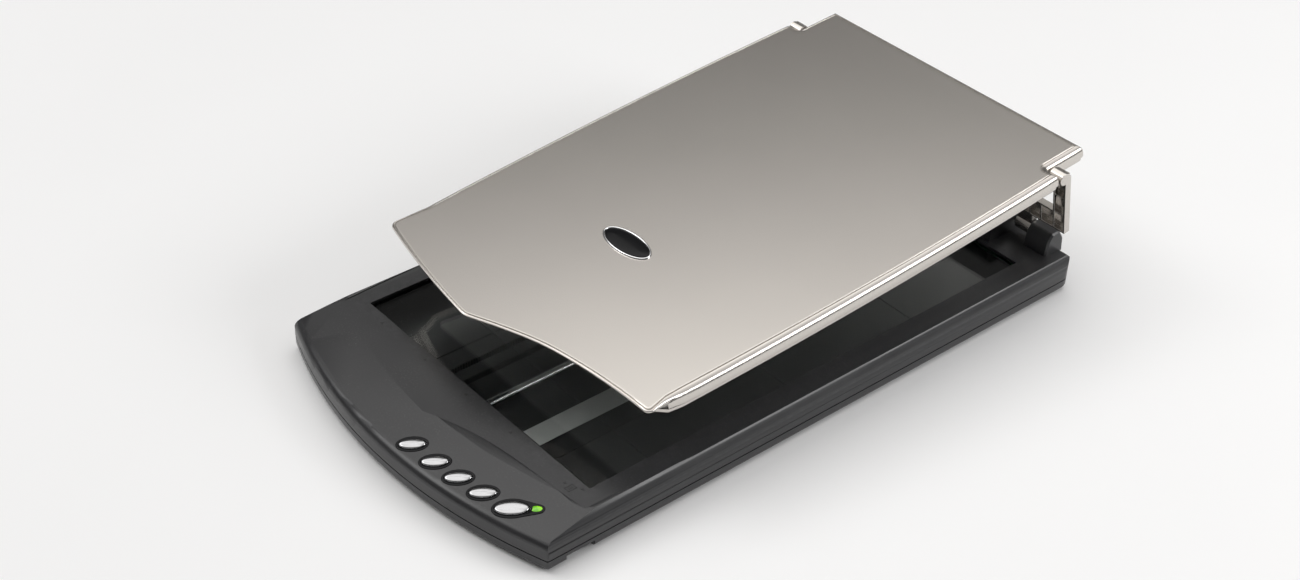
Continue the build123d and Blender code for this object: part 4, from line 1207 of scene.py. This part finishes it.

# %% [markdown]
# ## Floor
# A pale floor carries soft shadows. It reaches past every edge of the picture, and it is not part of the model.

# %% Floor
tree, shader = start_finish("studio_floor", Specular_IOR_Level=0.2)
cloudy = noise_node(tree, 3.0, 4.0, 0.5)
dress(tree, shader, mix_colour(tree, cloudy, (0.94, 0.94, 0.945), (0.97, 0.97, 0.975)),
      remap(tree, cloudy, 0.3, 0.7, 0.7, 0.85))
bm = bmesh.new()
bmesh.ops.create_grid(bm, x_segments=8, y_segments=8, size=12.0)
floor_mesh = bpy.data.meshes.new("floor")
bm.to_mesh(floor_mesh)
bm.free()
floor_mesh.materials.append(finish["studio_floor"])
floor = bpy.data.objects.new("floor", floor_mesh)
bpy.context.scene.collection.objects.link(floor)
print("floor: 24 m square, at z 0")

# %% [markdown]
# ## Softboxes
# One softbox at the right rear draws the highlight along the housing's shoulder, and one at the left front
# fills the rest. Both are area lamps, because a small lamp would leave hard shadows.

# %% Softboxes
def softbox(name, at, aim, width, height, watts):
    """A rectangular area lamp at a place, turned to face another."""
    lamp = bpy.data.lights.new(name, "AREA")
    lamp.shape = "RECTANGLE"
    lamp.size = width
    lamp.size_y = height
    lamp.energy = watts
    box = bpy.data.objects.new(name, lamp)
    bpy.context.scene.collection.objects.link(box)
    box.location = at
    box.rotation_euler = (Vector(aim) - Vector(at)).to_track_quat("-Z", "Y").to_euler()


softbox("right_rear", (1.9, 1.5, 1.25), (0, 0, 0.03), 1.5, 0.9, 28)
softbox("front_left", (-1.7, -1.3, 1.9), (0, 0, 0), 1.4, 1.0, 12)

# %% [markdown]
# ## Sky
# The lid mirrors the sky behind it, so its long fade from a bright front to a dark rear is a sky that grows
# brighter with height. It is also dimmer to the right, which keeps the base's side dark.

# %% Sky
sky = bpy.data.worlds.new("sky")
sky.use_nodes = True
tree = sky.node_tree
heading = tree.nodes.new("ShaderNodeSeparateXYZ")
tree.links.new(tree.nodes.new("ShaderNodeTexCoord").outputs["Generated"], heading.inputs["Vector"])
rise = remap(tree, heading.outputs["Z"], 0.61, 0.73, 0.09, 1.72)
fall = remap(tree, heading.outputs["X"], -0.35, 0.35, 1.0, 0.42)
background = tree.nodes["Background"]
tree.links.new(combine(tree, "MULTIPLY", rise, fall), background.inputs["Strength"])
background.inputs["Color"].default_value = (1.0, 0.99, 0.975, 1)
bpy.context.scene.world = sky
bpy.context.scene.view_settings.view_transform = "Standard"
print("sky ready")
